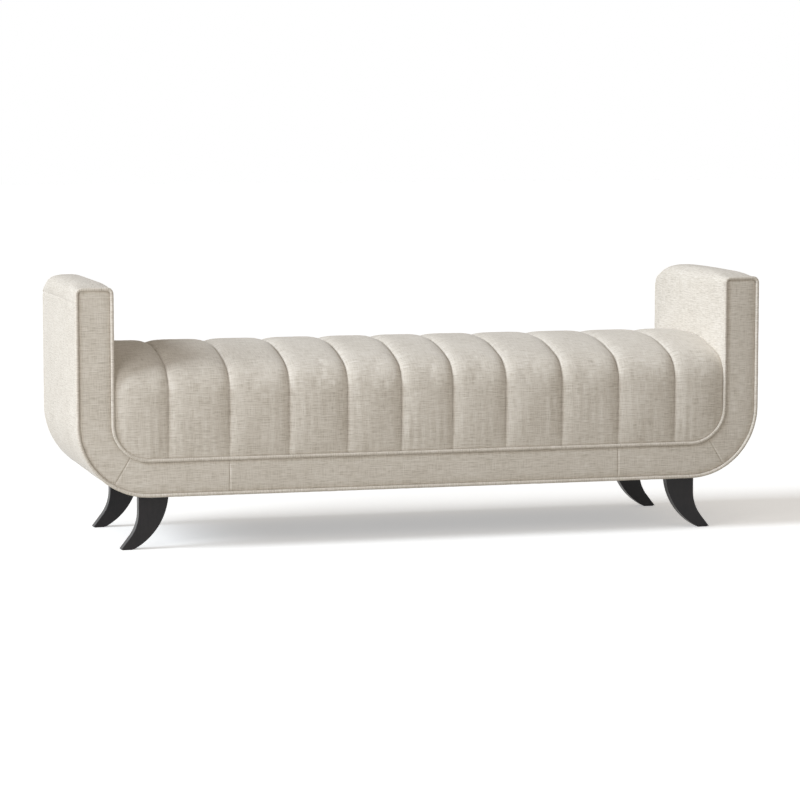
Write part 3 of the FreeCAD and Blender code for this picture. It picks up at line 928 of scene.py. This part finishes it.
@dataclass
class WeltCord:
    """Cloth-covered cord sewn round a facing."""

    body: BodySizes
    face: Face
    centre_y: float = 262.8
    step: float = 5.0
    sides: int = 14
    uneven: float = 0.12
    uneven_run: float = 34.0

    def build(self) -> Piece:
        """Makes the cord.

        Returns:
            The welt.
        """
        sizes, radius = self.body, self.body.welt_radius
        top, top_round = sizes.top(self.face) - radius, sizes.top_radius(self.face)
        out_x, out_z = sizes.half_width - radius, sizes.underside + radius
        in_x, in_z = sizes.inner_x + radius, sizes.inner_z - radius
        out_round, in_round = sizes.corner_radius - radius, sizes.inner_radius + radius
        path = rounded_outline([
            (-out_x, out_z, out_round), (out_x, out_z, out_round), (out_x, top, top_round),
            (in_x, top, top_round), (in_x, in_z, in_round), (-in_x, in_z, in_round),
            (-in_x, top, top_round), (-out_x, top, top_round),
        ], self.step)
        ahead = np.roll(path, -1, axis=0) - np.roll(path, 1, axis=0)
        ahead /= np.linalg.norm(ahead, axis=1, keepdims=True)
        turns = np.linspace(0, 2 * math.pi, self.sides, endpoint=False)
        run = np.arange(len(path) + 1)[:, None] * self.step
        swell = self.uneven * unevenness(run[:-1], radius * turns, self.uneven_run, seed=23)
        out = np.cos(turns)
        direction = grid(ahead[:, 1:] * out, np.sin(turns) * self.face.value, -ahead[:, :1] * out)
        centre = grid(path[:, 0], self.centre_y * self.face.value, path[:, 1])
        points = centre[:, None, :] + direction * (radius + swell)[..., None]
        uv = grid(np.linspace(0, 2 * math.pi * radius, self.sides + 1), run)
        return grid_object(f"{self.face.word}_welt_cord", points, uv, direction, wrap=(True, True))

    def dress(self, piece: Piece) -> None:
        """Covers the cord in linen."""
        hand_over(piece, LINEN, [f"{self.face.word}_welt"])


@dataclass
class ArmCover:
    """Cover of one arm: its inside, its top with the rolled rear, and the band above the outside seam."""

    body: BodySizes
    side: Side
    front_drop: float = 6.0
    front_run: float = 120.0
    front_y: float = -259.5
    roll_run: float = 115.0
    roll_radius: float = 16.0
    roll_turn: float = math.radians(60)
    front_radius: float = 15.0
    end_radius: float = 4.5
    end_run: float = 60.0
    end_step: Pair = (0.6, 3.0)
    top_swell: float = 6.5
    dome_depth: float = 24.0
    dome_power: float = 2.8
    swell_run: float = 95.0
    low_z: float = 384.0
    core_z: float = 500.0
    wall_turn: float = 4.0
    seam_start: float = 1.0
    seam_dip: float = 1.1
    seam_width: float = 4.0
    outer_seam_width: float = 3.0
    tuck: tuple[Triple, ...] = ((0.8, 0.0, 0.6), (2.2, 0.0, 2.0), (2.6, 0.0, 8.0))
    end_dip: float = 0.6
    end_band: float = 3.0
    uneven: float = 0.35
    uneven_run: float = 140.0
    rows_slope: int = 22
    rows_level: int = 40
    cells_roll: tuple[int, int] = (8, 21)
    columns_edge: int = 9
    columns_top: int = 19
    columns_inside: int = 26
    columns_outside: int = 7
    sewn_rows: tuple[int, int] = (3, 4)
    sewn_columns: tuple[int, int] = (2, 5)
    cut_ease: float = 0.012
    pressure: float = 0.6
    give: float = 2.5
    cloth: float = 1.5

    @property
    def middle(self) -> float:
        """Middle of the arm, along the bench."""
        return (self.body.inner_x + self.body.half_width) / 2

    def top_line(self) -> tuple[Array, Array]:
        """Line along the top of the arm from front to rear.

        Returns:
            Points (y, z) and outward normals.
        """
        crown = self.body.arm_crown
        level = self.front_run - self.body.facing_y
        bow = (self.front_run ** 2 + self.front_drop ** 2) / (2 * self.front_drop)
        turns = np.arcsin((level - np.linspace(self.front_y, level, self.rows_slope)) / bow)
        slope_normals = grid(-np.sin(turns), np.cos(turns))
        slope = np.array([level, crown - bow]) + bow * slope_normals
        tangent = self.body.facing_y - self.roll_run
        flat = grid(np.linspace(level, tangent, self.rows_level)[1:], crown)
        flat_normals = np.tile([0.0, 1.0], (len(flat), 1))
        roll, roll_normals = rolled_edge(self.roll_run, self.roll_radius, self.roll_turn, self.cells_roll)
        roll = np.array([tangent, crown]) + roll[-2::-1]
        points = np.concatenate([slope, flat, roll, roll[-1:] - np.array(self.end_step)])
        return points, np.concatenate([slope_normals, flat_normals, roll_normals[-2::-1], roll_normals[:1]])

    def section(self, run: Array) -> tuple[Array, Array]:
        """Cross-section of the top: a rounded square at both ends and a dome between them.

        Args:
            run: Places along the top line.

        Returns:
            Places along the bench and depths under the top line.
        """
        half = self.body.band / 2
        late = np.clip((run - run[-1] + self.end_run) / self.end_run, 0, 1)[:, None]
        radius = self.front_radius + (self.end_radius - self.front_radius) * late ** 2
        eases = np.linspace(0, QUARTER, self.columns_edge)
        bend, drop = radius * (1 - np.cos(eases)), radius * (1 - np.sin(eases))
        level = np.linspace(-1, 1, self.columns_top)[1:-1] * (half - radius)
        x = np.concatenate([self.body.inner_x + bend, self.middle + level,
                            self.body.half_width - bend[:, ::-1]], axis=1)
        square = np.concatenate([drop, np.zeros_like(level), drop[:, ::-1]], axis=1)
        beside = np.minimum(np.abs(x - self.middle) / half, 1.0)
        arch = (1 - beside ** self.dome_power) ** (1 / self.dome_power)
        dome = self.dome_depth * (1 - arch) - self.top_swell
        soft = np.clip(run / self.swell_run, 0, 1)[:, None]
        soft = soft ** 2 * (3 - 2 * soft) * (1 - late) ** 2
        seam = self.seam_dip * edge_dip(run - self.seam_start, self.seam_width)[:, None]
        return x, square + (dome - square) * soft + seam

    def wall(self, x: float, top: Array, low_y: Array, low_z: float, columns: int) -> Array:
        """Flat wall of the cover, from its rounded edge downwards.

        Args:
            x: Place along the bench.
            top: Points (y, z) of the upper edge.
            low_y: Depths of the lower edge.
            low_z: Height of the lower edge.
            columns: How many columns of points it has.

        Returns:
            Points of the wall, from the top down.
        """
        share = np.linspace(0, 1, columns + 1)[1:]
        top_y, top_z = top[:, :1], top[:, 1:]
        y = top_y + (low_y[:, None] - top_y) * np.minimum(1, share * self.wall_turn)
        return grid(x, y, top_z + (low_z - top_z) * share)

    def surface(self) -> tuple[Array, Array]:
        """Points of the right arm's cover.

        Returns:
            Grid of points and grid of cloth coordinates, in millimetres.
        """
        line, normal = self.top_line()
        x, depth = self.section(lengths_along(line))
        top = line[:, None, :] - depth[..., None] * normal[:, None, :]
        low_y = np.interp(top[:, 0, 0], top[[0, -1], 0, 0], [self.front_y, -self.front_y])
        inner = self.wall(self.body.inner_x, top[:, 0], low_y, self.low_z, self.columns_inside)[:, ::-1]
        seam_z = self.body.arm_seam
        outer = self.wall(self.body.half_width, top[:, -1], low_y, seam_z, self.columns_outside)
        outer[..., 0] -= edge_dip(outer[..., 2] - seam_z, self.outer_seam_width) * self.seam_dip
        tuck = outer[:, -1:] - np.array(self.tuck)
        points = np.concatenate([inner, grid(x, top[..., 0], top[..., 1]), outer, tuck], axis=1)
        beside = points[..., 0] - self.middle
        ends = edge_dip(abs(self.front_y) - np.abs(points[..., 1]), self.seam_width)
        on_wall = np.abs(beside) > self.body.band / 2 - self.end_band
        points[..., 0] -= self.end_dip * ends * np.sign(beside) * on_wall
        steps = np.linalg.norm(np.diff(points, axis=1), axis=-1)
        across = np.concatenate([np.zeros((len(line), 1)), np.cumsum(steps, axis=1)], axis=1)
        wave = unevenness(points[..., 1], across, self.uneven_run, seed=5 + self.side.value)
        points[..., 0] += self.uneven * wave * np.sign(points[..., 0] - self.middle)
        return points, grid(points[..., 1], across)

    def build(self) -> Piece:
        """Makes the cover and lets it settle.

        Returns:
            The arm cover.
        """
        points, uv = self.surface()
        looks = points - np.array([self.middle, 0.0, self.core_z])
        looks[..., 1] = 0
        points[..., 0] *= self.side.value
        looks[..., 0] *= self.side.value
        piece = grid_object(f"{self.side.word}_arm_top_cover", points, uv, looks)
        pinned = np.ones(points.shape[:2], dtype=bool)
        (front, rear), (low, seam) = self.sewn_rows, self.sewn_columns
        pinned[front:-rear, low:-seam] = False
        cut = points * np.array([1.0, 1.0 + self.cut_ease, 1.0])
        ClothRun(pressure=self.pressure, cap=self.give, seed=17).settle(piece, pinned.ravel(), cut)
        return thicken(piece, self.cloth)

    def dress(self, piece: Piece) -> None:
        """Covers the arm in linen."""
        name = self.side.word
        hand_over(piece, LINEN, [f"{name}_arm_cover", f"{name}_arm_padding"])


@dataclass
class OutsideCover:
    """Cover of the outside of one arm, round the lower corner to the underside."""

    body: BodySizes
    side: Side
    end_y: float = 259.5
    seam_gap: float = 0.4
    seam_dip: float = 1.1
    welt_dip: float = 1.2
    seam_width: float = 3.5
    seam_rows: tuple[float, ...] = (1.0, 2.2, 4.0, 6.0)
    hem_rise: float = 16.0
    uneven: float = 0.4
    uneven_run: float = 160.0
    rows_upright: int = 40
    rows_corner: int = 44
    rows_hem: int = 4
    columns: int = 58
    cloth: float = 1.5

    def build(self) -> Piece:
        """Makes the cover.

        Returns:
            The outside cover.
        """
        sizes, radius = self.body, self.body.corner_radius
        near = np.array(self.seam_rows)
        top = sizes.arm_seam - self.seam_gap
        upright = np.linspace(top, sizes.corner_z, self.rows_upright)
        upright = np.unique(np.concatenate([upright, top - near]))[::-1]
        end_turn = math.acos((sizes.wrap_end - sizes.corner_x) / radius)
        turns = np.linspace(0, end_turn, self.rows_corner)[1:]
        hem_z = np.linspace(0, 1, self.rows_hem)[1:] * self.hem_rise
        hem_z = sizes.corner_z - radius * math.sin(end_turn) + hem_z
        line = np.concatenate([
            grid(sizes.half_width, upright),
            grid(sizes.corner_x + radius * np.cos(turns), sizes.corner_z - radius * np.sin(turns)),
            grid(sizes.wrap_end, hem_z)])
        normal = np.concatenate([
            grid(np.ones_like(upright), 0.0),
            grid(np.cos(turns), -np.sin(turns)),
            grid(-np.ones_like(hem_z), 0.0)])
        run = lengths_along(line)[:, None]
        even = np.linspace(-self.end_y, self.end_y, self.columns)
        y = np.unique(np.concatenate([even, near - self.end_y, self.end_y - near]))
        dip = self.seam_dip * edge_dip(run, self.seam_width)
        dip = dip + self.welt_dip * edge_dip(self.end_y - np.abs(y), self.seam_width)
        dip = dip - self.uneven * unevenness(run, y, self.uneven_run, seed=31 + self.side.value)
        x = (line[:, :1] - dip * normal[:, :1]) * self.side.value
        points = grid(x, y, line[:, 1:] - dip * normal[:, 1:])
        looks = grid(normal[:, :1] * self.side.value, 0.0, normal[:, 1:])
        piece = grid_object(f"{self.side.word}_outside_cover", points, grid(y, -run), looks)
        return thicken(piece, self.cloth)

    def dress(self, piece: Piece) -> None:
        """Covers the outside of the arm in linen."""
        name = self.side.word
        hand_over(piece, LINEN, [f"{name}_outside_arm_cover", f"{name}_outside_arm_padding"])


@dataclass
class UndersideStrip:
    """Strip of the cover turned under a facing board; its turn is given as depth and rise."""

    body: BodySizes
    face: Face
    turn: tuple[Pair, ...] = (
        (261.0, 7.0), (259.6, 3.6), (257.4, 1.2), (254.0, 0.3), (247.0, 0.1), (242.0, 0.2), (240.2, 1.0),
        (239.6, 3.0), (238.6, 16.0))
    end_inset: float = 0.5
    columns: int = 180
    uneven: float = 0.3
    uneven_run: float = 60.0
    cloth: float = 1.2

    def build(self) -> Piece:
        """Makes the strip.

        Returns:
            The strip.
        """
        turn = np.array(self.turn)
        reach = self.body.wrap_end - self.end_inset
        x = np.linspace(-reach, reach, self.columns)[:, None]
        run = lengths_along(turn)
        wave = self.uneven * unevenness(x, run, self.uneven_run, seed=41)
        points = grid(x, turn[:, 0] * self.face.value, self.body.underside + turn[:, 1] + np.maximum(wave, 0))
        looks = np.array([0.0, 0.0, -1.0])
        piece = grid_object(f"{self.face.word}_turned_under_strip", points, grid(x, run), looks)
        return thicken(piece, self.cloth)

    def dress(self, piece: Piece) -> None:
        """Covers the strip in linen."""
        hand_over(piece, LINEN, [f"{self.face.word}_underside_strip"])


@dataclass
class LiningSheet:
    """Flat sheet of lining cloth stretched on the frame, with openings for the leg plates if it has any."""

    name: str
    node: str
    rests_on: list[str]
    half_length: float
    half_depth: float
    height: float
    sag: float
    looks: float
    cut_x: Pair | None = None
    cut_y: Pair | None = None
    cell: float = 12.0
    uneven_share: float = 0.3
    uneven_run: float = 210.0

    def build(self) -> Piece:
        """Makes the sheet.

        Returns:
            The sheet.
        """
        lines, inside = [], []
        for half, cut in ((self.half_length, self.cut_x), (self.half_depth, self.cut_y)):
            edges = np.linspace(-half, half, int(2 * half / self.cell) + 1)
            if cut:
                edges = np.unique(np.concatenate([edges, cut, np.negative(cut)]))
                middle = np.abs((edges[1:] + edges[:-1]) / 2)
                inside.append((middle > cut[0]) & (middle < cut[1]))
            lines.append(edges)
        keep = ~(inside[0][:, None] & inside[1]) if inside else None
        wide, deep = np.meshgrid(*lines, indexing="ij")
        wave = unevenness(wide, deep, self.uneven_run, seed=53)
        hang = (1 - (deep / self.half_depth) ** 2) * (1 - self.uneven_share + self.uneven_share * wave)
        points = grid(wide, deep, self.height - self.sag * np.maximum(hang, 0))
        return grid_object(self.name, points, grid(wide, deep), np.array([0.0, 0.0, self.looks]), keep=keep)

    @property
    def flat_area(self) -> float:
        """Area of the cut sheet in square metres."""
        area = 4 * self.half_length * self.half_depth
        if self.cut_x and self.cut_y:
            area -= 4 * (self.cut_x[1] - self.cut_x[0]) * (self.cut_y[1] - self.cut_y[0])
        return area * MM * MM

    def dress(self, piece: Piece) -> None:
        """Gives the sheet its lining cloth."""
        hand_over(piece, LINING, [self.node])
        self.flat_area


@dataclass
class StapleRow:
    """Wire staples that hold the dust cover to the frame, set along a closed line."""

    half_length: float
    half_depth: float
    height: float
    name: str = "dust_cover_staples"
    spacing: float = 38.0
    crown: float = 10.0
    wire: float = 0.9
    wire_sides: int = 8
    slant: float = 0.12
    seed: int = 3

    def tree(self) -> Tree:
        """Node tree that sets a staple at even steps along a line.

        Returns:
            The tree, with its sizes as named inputs.
        """
        tree = bpy.data.node_groups.new("staples_along_line", "GeometryNodeTree")
        kinds = {"Line": "Geometry", "Spacing": "Float", "Crown": "Float", "Wire": "Float", "Seed": "Int",
                 "Finish": "Material"}
        for name, kind in kinds.items():
            tree.interface.new_socket(name, in_out="INPUT", socket_type=f"NodeSocket{kind}")
        tree.interface.new_socket("Staples", in_out="OUTPUT", socket_type="NodeSocketGeometry")
        given = add_node(tree, "NodeGroupInput")
        path = add_node(tree, "GeometryNodeMeshToCurve", {0: given["Line"]})[0]
        steps = {"Curve": path, "Length": given["Spacing"]}
        points = add_node(tree, "GeometryNodeResampleCurve", steps, mode="LENGTH")[0]
        half = add_node(tree, "ShaderNodeMath", {0: given["Crown"], 1: 0.5}, operation="MULTIPLY")[0]
        back = add_node(tree, "ShaderNodeMath", {0: half, 1: -1.0}, operation="MULTIPLY")[0]
        start = add_node(tree, "ShaderNodeCombineXYZ", {"X": back})[0]
        end = add_node(tree, "ShaderNodeCombineXYZ", {"X": half})[0]
        bar = add_node(tree, "GeometryNodeCurvePrimitiveLine", {"Start": start, "End": end})[0]
        thick = add_node(tree, "ShaderNodeMath", {0: given["Wire"], 1: 0.5}, operation="MULTIPLY")[0]
        circle = {"Resolution": self.wire_sides, "Radius": thick}
        ring = add_node(tree, "GeometryNodeCurvePrimitiveCircle", circle)[0]
        sweep = {"Curve": bar, "Profile Curve": ring, "Fill Caps": True}
        staple = add_node(tree, "GeometryNodeCurveToMesh", sweep)[0]
        tangent = add_node(tree, "GeometryNodeInputTangent")[0]
        turn = add_node(tree, "FunctionNodeAlignRotationToVector", {"Vector": tangent}, axis="X")[0]
        spread = {2: -self.slant, 3: self.slant, "Seed": given["Seed"]}
        slant = add_node(tree, "FunctionNodeRandomValue", spread, data_type="FLOAT")[1]
        yaw = add_node(tree, "ShaderNodeCombineXYZ", {"Z": slant})[0]
        both = {"Rotation": turn, "Rotate By": yaw}
        set_turn = add_node(tree, "FunctionNodeRotateRotation", both, rotation_space="LOCAL")[0]
        places = {"Points": points, "Instance": staple, "Rotation": set_turn}
        set_out = add_node(tree, "GeometryNodeInstanceOnPoints", places)[0]
        real = add_node(tree, "GeometryNodeRealizeInstances", {0: set_out})[0]
        steel = {"Geometry": real, "Material": given["Finish"]}
        dressed = add_node(tree, "GeometryNodeSetMaterial", steel)[0]
        add_node(tree, "NodeGroupOutput", {"Staples": dressed})
        return tree

    def build(self) -> Piece:
        """Makes the staples.

        Returns:
            All staples as one mesh.
        """
        x, y, z = self.half_length * MM, self.half_depth * MM, self.height * MM
        line = bpy.data.meshes.new("staple_line")
        corners = [(-x, -y, z), (x, -y, z), (x, y, z), (-x, y, z)]
        line.from_pydata(corners, [(0, 1), (1, 2), (2, 3), (3, 0)], [])
        carrier = linked("staple_line", line)
        maker = carrier.modifiers.new("staples", "NODES")
        maker.node_group = self.tree()
        values = {"Spacing": self.spacing * MM, "Crown": self.crown * MM, "Wire": self.wire * MM,
                  "Seed": self.seed, "Finish": STEEL.material()}
        for socket in maker.node_group.interface.items_tree:
            if socket.name in values:
                maker[socket.identifier] = values[socket.name]
        shown = carrier.evaluated_get(bpy.context.evaluated_depsgraph_get())
        mesh = bpy.data.meshes.new_from_object(shown)
        carrier.modifiers.remove(maker)
        bpy.data.objects.remove(carrier)
        mesh.name = self.name
        return linked(self.name, mesh)

    def dress(self, piece: Piece) -> None:
        """Gives the staples their steel."""
        hand_over(piece, STEEL, [])


@dataclass
class Studio:
    """Pale floor, white surroundings, soft light from the upper left and the camera, in metres."""

    sun_direction: Triple = (-0.855, -0.11, 0.507)
    sun_colour: str = "#EEF6FF"
    sun_strength: float = 2.92
    sun_spread: float = math.radians(26)
    front_place: Triple = (-2.3, -2.0, 1.0)
    front_power: float = 16.8
    fill_place: Triple = (0.4, -1.5, 1.7)
    fill_power: float = 4.6
    softbox_aim: Triple = (-0.5, 0.0, 0.35)
    softbox_size: float = 1.2
    ambient: str = "#FFF3E4"
    ambient_strength: float = 0.29
    floor_size: float = 60.0
    floor_colour: str = "#F2F1EF"
    floor_glow: float = 0.42
    bounce_colour: str = "#CFCBC4"
    camera_place: Triple = (-2.1253, -7.6658, 1.1552)
    camera_pitch: float = math.radians(90 - 5.85)
    camera_turn: float = math.radians(-15.49)
    lens: float = 134.955
    sensor: float = 36.0
    view_end: float = 200.0

    @staticmethod
    def seen_rays(tree: Tree) -> Socket:
        """Adds a switch that is one for what is seen, mirrored or looked through.

        Args:
            tree: Tree that takes the switch.

        Returns:
            The switch's socket.
        """
        rays = add_node(tree, "ShaderNodeLightPath")
        seen = rays["Is Camera Ray"]
        for kind in ("Is Glossy Ray", "Is Transmission Ray"):
            seen = add_node(tree, "ShaderNodeMath", {0: seen, 1: rays[kind]}, operation="MAXIMUM")[0]
        return seen

    def softbox(self, name: str, place: Triple, power: float) -> None:
        """Hangs one square softbox.

        Args:
            name: Name of the lamp.
            place: Where it hangs.
            power: Its power in watts.
        """
        box = bpy.data.lights.new(name, "AREA")
        box.energy = power
        box.size = self.softbox_size
        stand = linked(name, box)
        stand.location = place
        stand.rotation_euler = (Vector(self.softbox_aim) - Vector(place)).to_track_quat("-Z", "Y").to_euler()

    def light(self) -> None:
        """Sets the sun, the softboxes and the white surroundings."""
        sun = bpy.data.lights.new("soft_sun", "SUN")
        sun.energy = self.sun_strength
        sun.angle = self.sun_spread
        sun.color = linear(self.sun_colour)[:3]
        x, y, z = self.sun_direction
        turn = Euler((math.atan2(math.hypot(x, y), z), 0, math.atan2(x, -y)))
        linked("soft_sun", sun).rotation_euler = turn
        self.softbox("front_softbox", self.front_place, self.front_power)
        self.softbox("fill_softbox", self.fill_place, self.fill_power)
        world = bpy.data.worlds.new("white_room")
        tree = cleared_tree(world)
        white = add_node(tree, "ShaderNodeBackground", {"Color": linear(WHITE), "Strength": 1.0})[0]
        soft = {"Color": linear(self.ambient), "Strength": self.ambient_strength}
        fill = add_node(tree, "ShaderNodeBackground", soft)[0]
        mixed = add_node(tree, "ShaderNodeMixShader", {0: self.seen_rays(tree), 1: fill, 2: white})[0]
        add_node(tree, "ShaderNodeOutputWorld", {"Surface": mixed})
        bpy.context.scene.world = world

    def floor(self) -> None:
        """Lays the pale floor, which keeps the bench's shadow and throws little light back up."""
        half = self.floor_size / 2
        mesh = bpy.data.meshes.new("floor")
        corners = [(-half, -half, 0), (half, -half, 0), (half, half, 0), (-half, half, 0)]
        mesh.from_pydata(corners, [], [(0, 1, 2, 3)])
        made = linked("floor", mesh)
        pale = bpy.data.materials.new("pale_studio_floor")
        tree = cleared_tree(pale)
        seen = self.seen_rays(tree)
        glow = add_node(tree, "ShaderNodeMath", {0: seen, 1: self.floor_glow}, operation="MULTIPLY")[0]
        matt = add_node(tree, "ShaderNodeBsdfDiffuse", {"Color": linear(self.floor_colour)})[0]
        dull = add_node(tree, "ShaderNodeBsdfDiffuse", {"Color": linear(self.bounce_colour)})[0]
        laid = add_node(tree, "ShaderNodeMixShader", {0: seen, 1: dull, 2: matt})[0]
        shine = add_node(tree, "ShaderNodeEmission", {"Color": linear(WHITE), "Strength": glow})[0]
        both = add_node(tree, "ShaderNodeAddShader", {0: laid, 1: shine})[0]
        add_node(tree, "ShaderNodeOutputMaterial", {"Surface": both})
        mesh.materials.append(pale)

    def camera(self) -> None:
        """Sets the camera at the photograph's viewpoint."""
        data = bpy.data.cameras.new("viewpoint")
        data.sensor_width = self.sensor
        data.lens = self.lens
        data.clip_end = self.view_end
        made = linked("viewpoint", data)
        made.location = self.camera_place
        made.rotation_euler = Euler((self.camera_pitch, 0, self.camera_turn))
        bpy.context.scene.camera = made
        bpy.context.scene.view_settings.view_transform = "Standard"


def dress_carried_nodes() -> None:
    """Gives every CAD node that stays in view its finish."""
    for part in frame["record"]["subparts"]:
        node = frame["nodes"][part["node"]]
        finish = CARRIED.get(part["material_slot"])
        if finish is None or node.hide_render:
            continue
        node.data.materials.clear()
        node.data.materials.append(finish.material())
        LOG.info("%s: carried over in %s", node.name, finish.name)


def main() -> None:
    """Builds the bench's looks piece by piece, then the studio."""
    logging.basicConfig(level=logging.INFO, format="%(name)s: %(message)s")
    body = BodySizes()
    _, deck_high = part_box("deck_sheet")
    pieces: list[Any] = [SeatCover(body)]
    for face in Face:
        pieces += [Facing(body, face), WeltCord(body, face), UndersideStrip(body, face)]
    for side in Side:
        pieces += [ArmCover(body, side), OutsideCover(body, side)]
    pieces += [
        LiningSheet("dust_cover_cloth", "dust_cover", ["front_rail", "rear_rail", "cross_rails"],
                    half_length=752.0, half_depth=239.0, height=154.6, sag=2.5, looks=-1.0,
                    cut_x=(675.9, 746.6), cut_y=(177.7, 238.3)),
        LiningSheet("spring_deck_cloth", "deck_sheet", ["sinuous_springs"], half_length=deck_high.x / MM,
                    half_depth=deck_high.y / MM, height=deck_high.z / MM - 0.3, sag=0.4, looks=1.0),
        StapleRow(half_length=746.0, half_depth=233.0, height=153.9),
    ]
    for piece in pieces:
        piece.dress(piece.build())
    dress_carried_nodes()
    studio = Studio()
    studio.light()
    studio.floor()
    studio.camera()


if __name__ == "__main__":
    main()
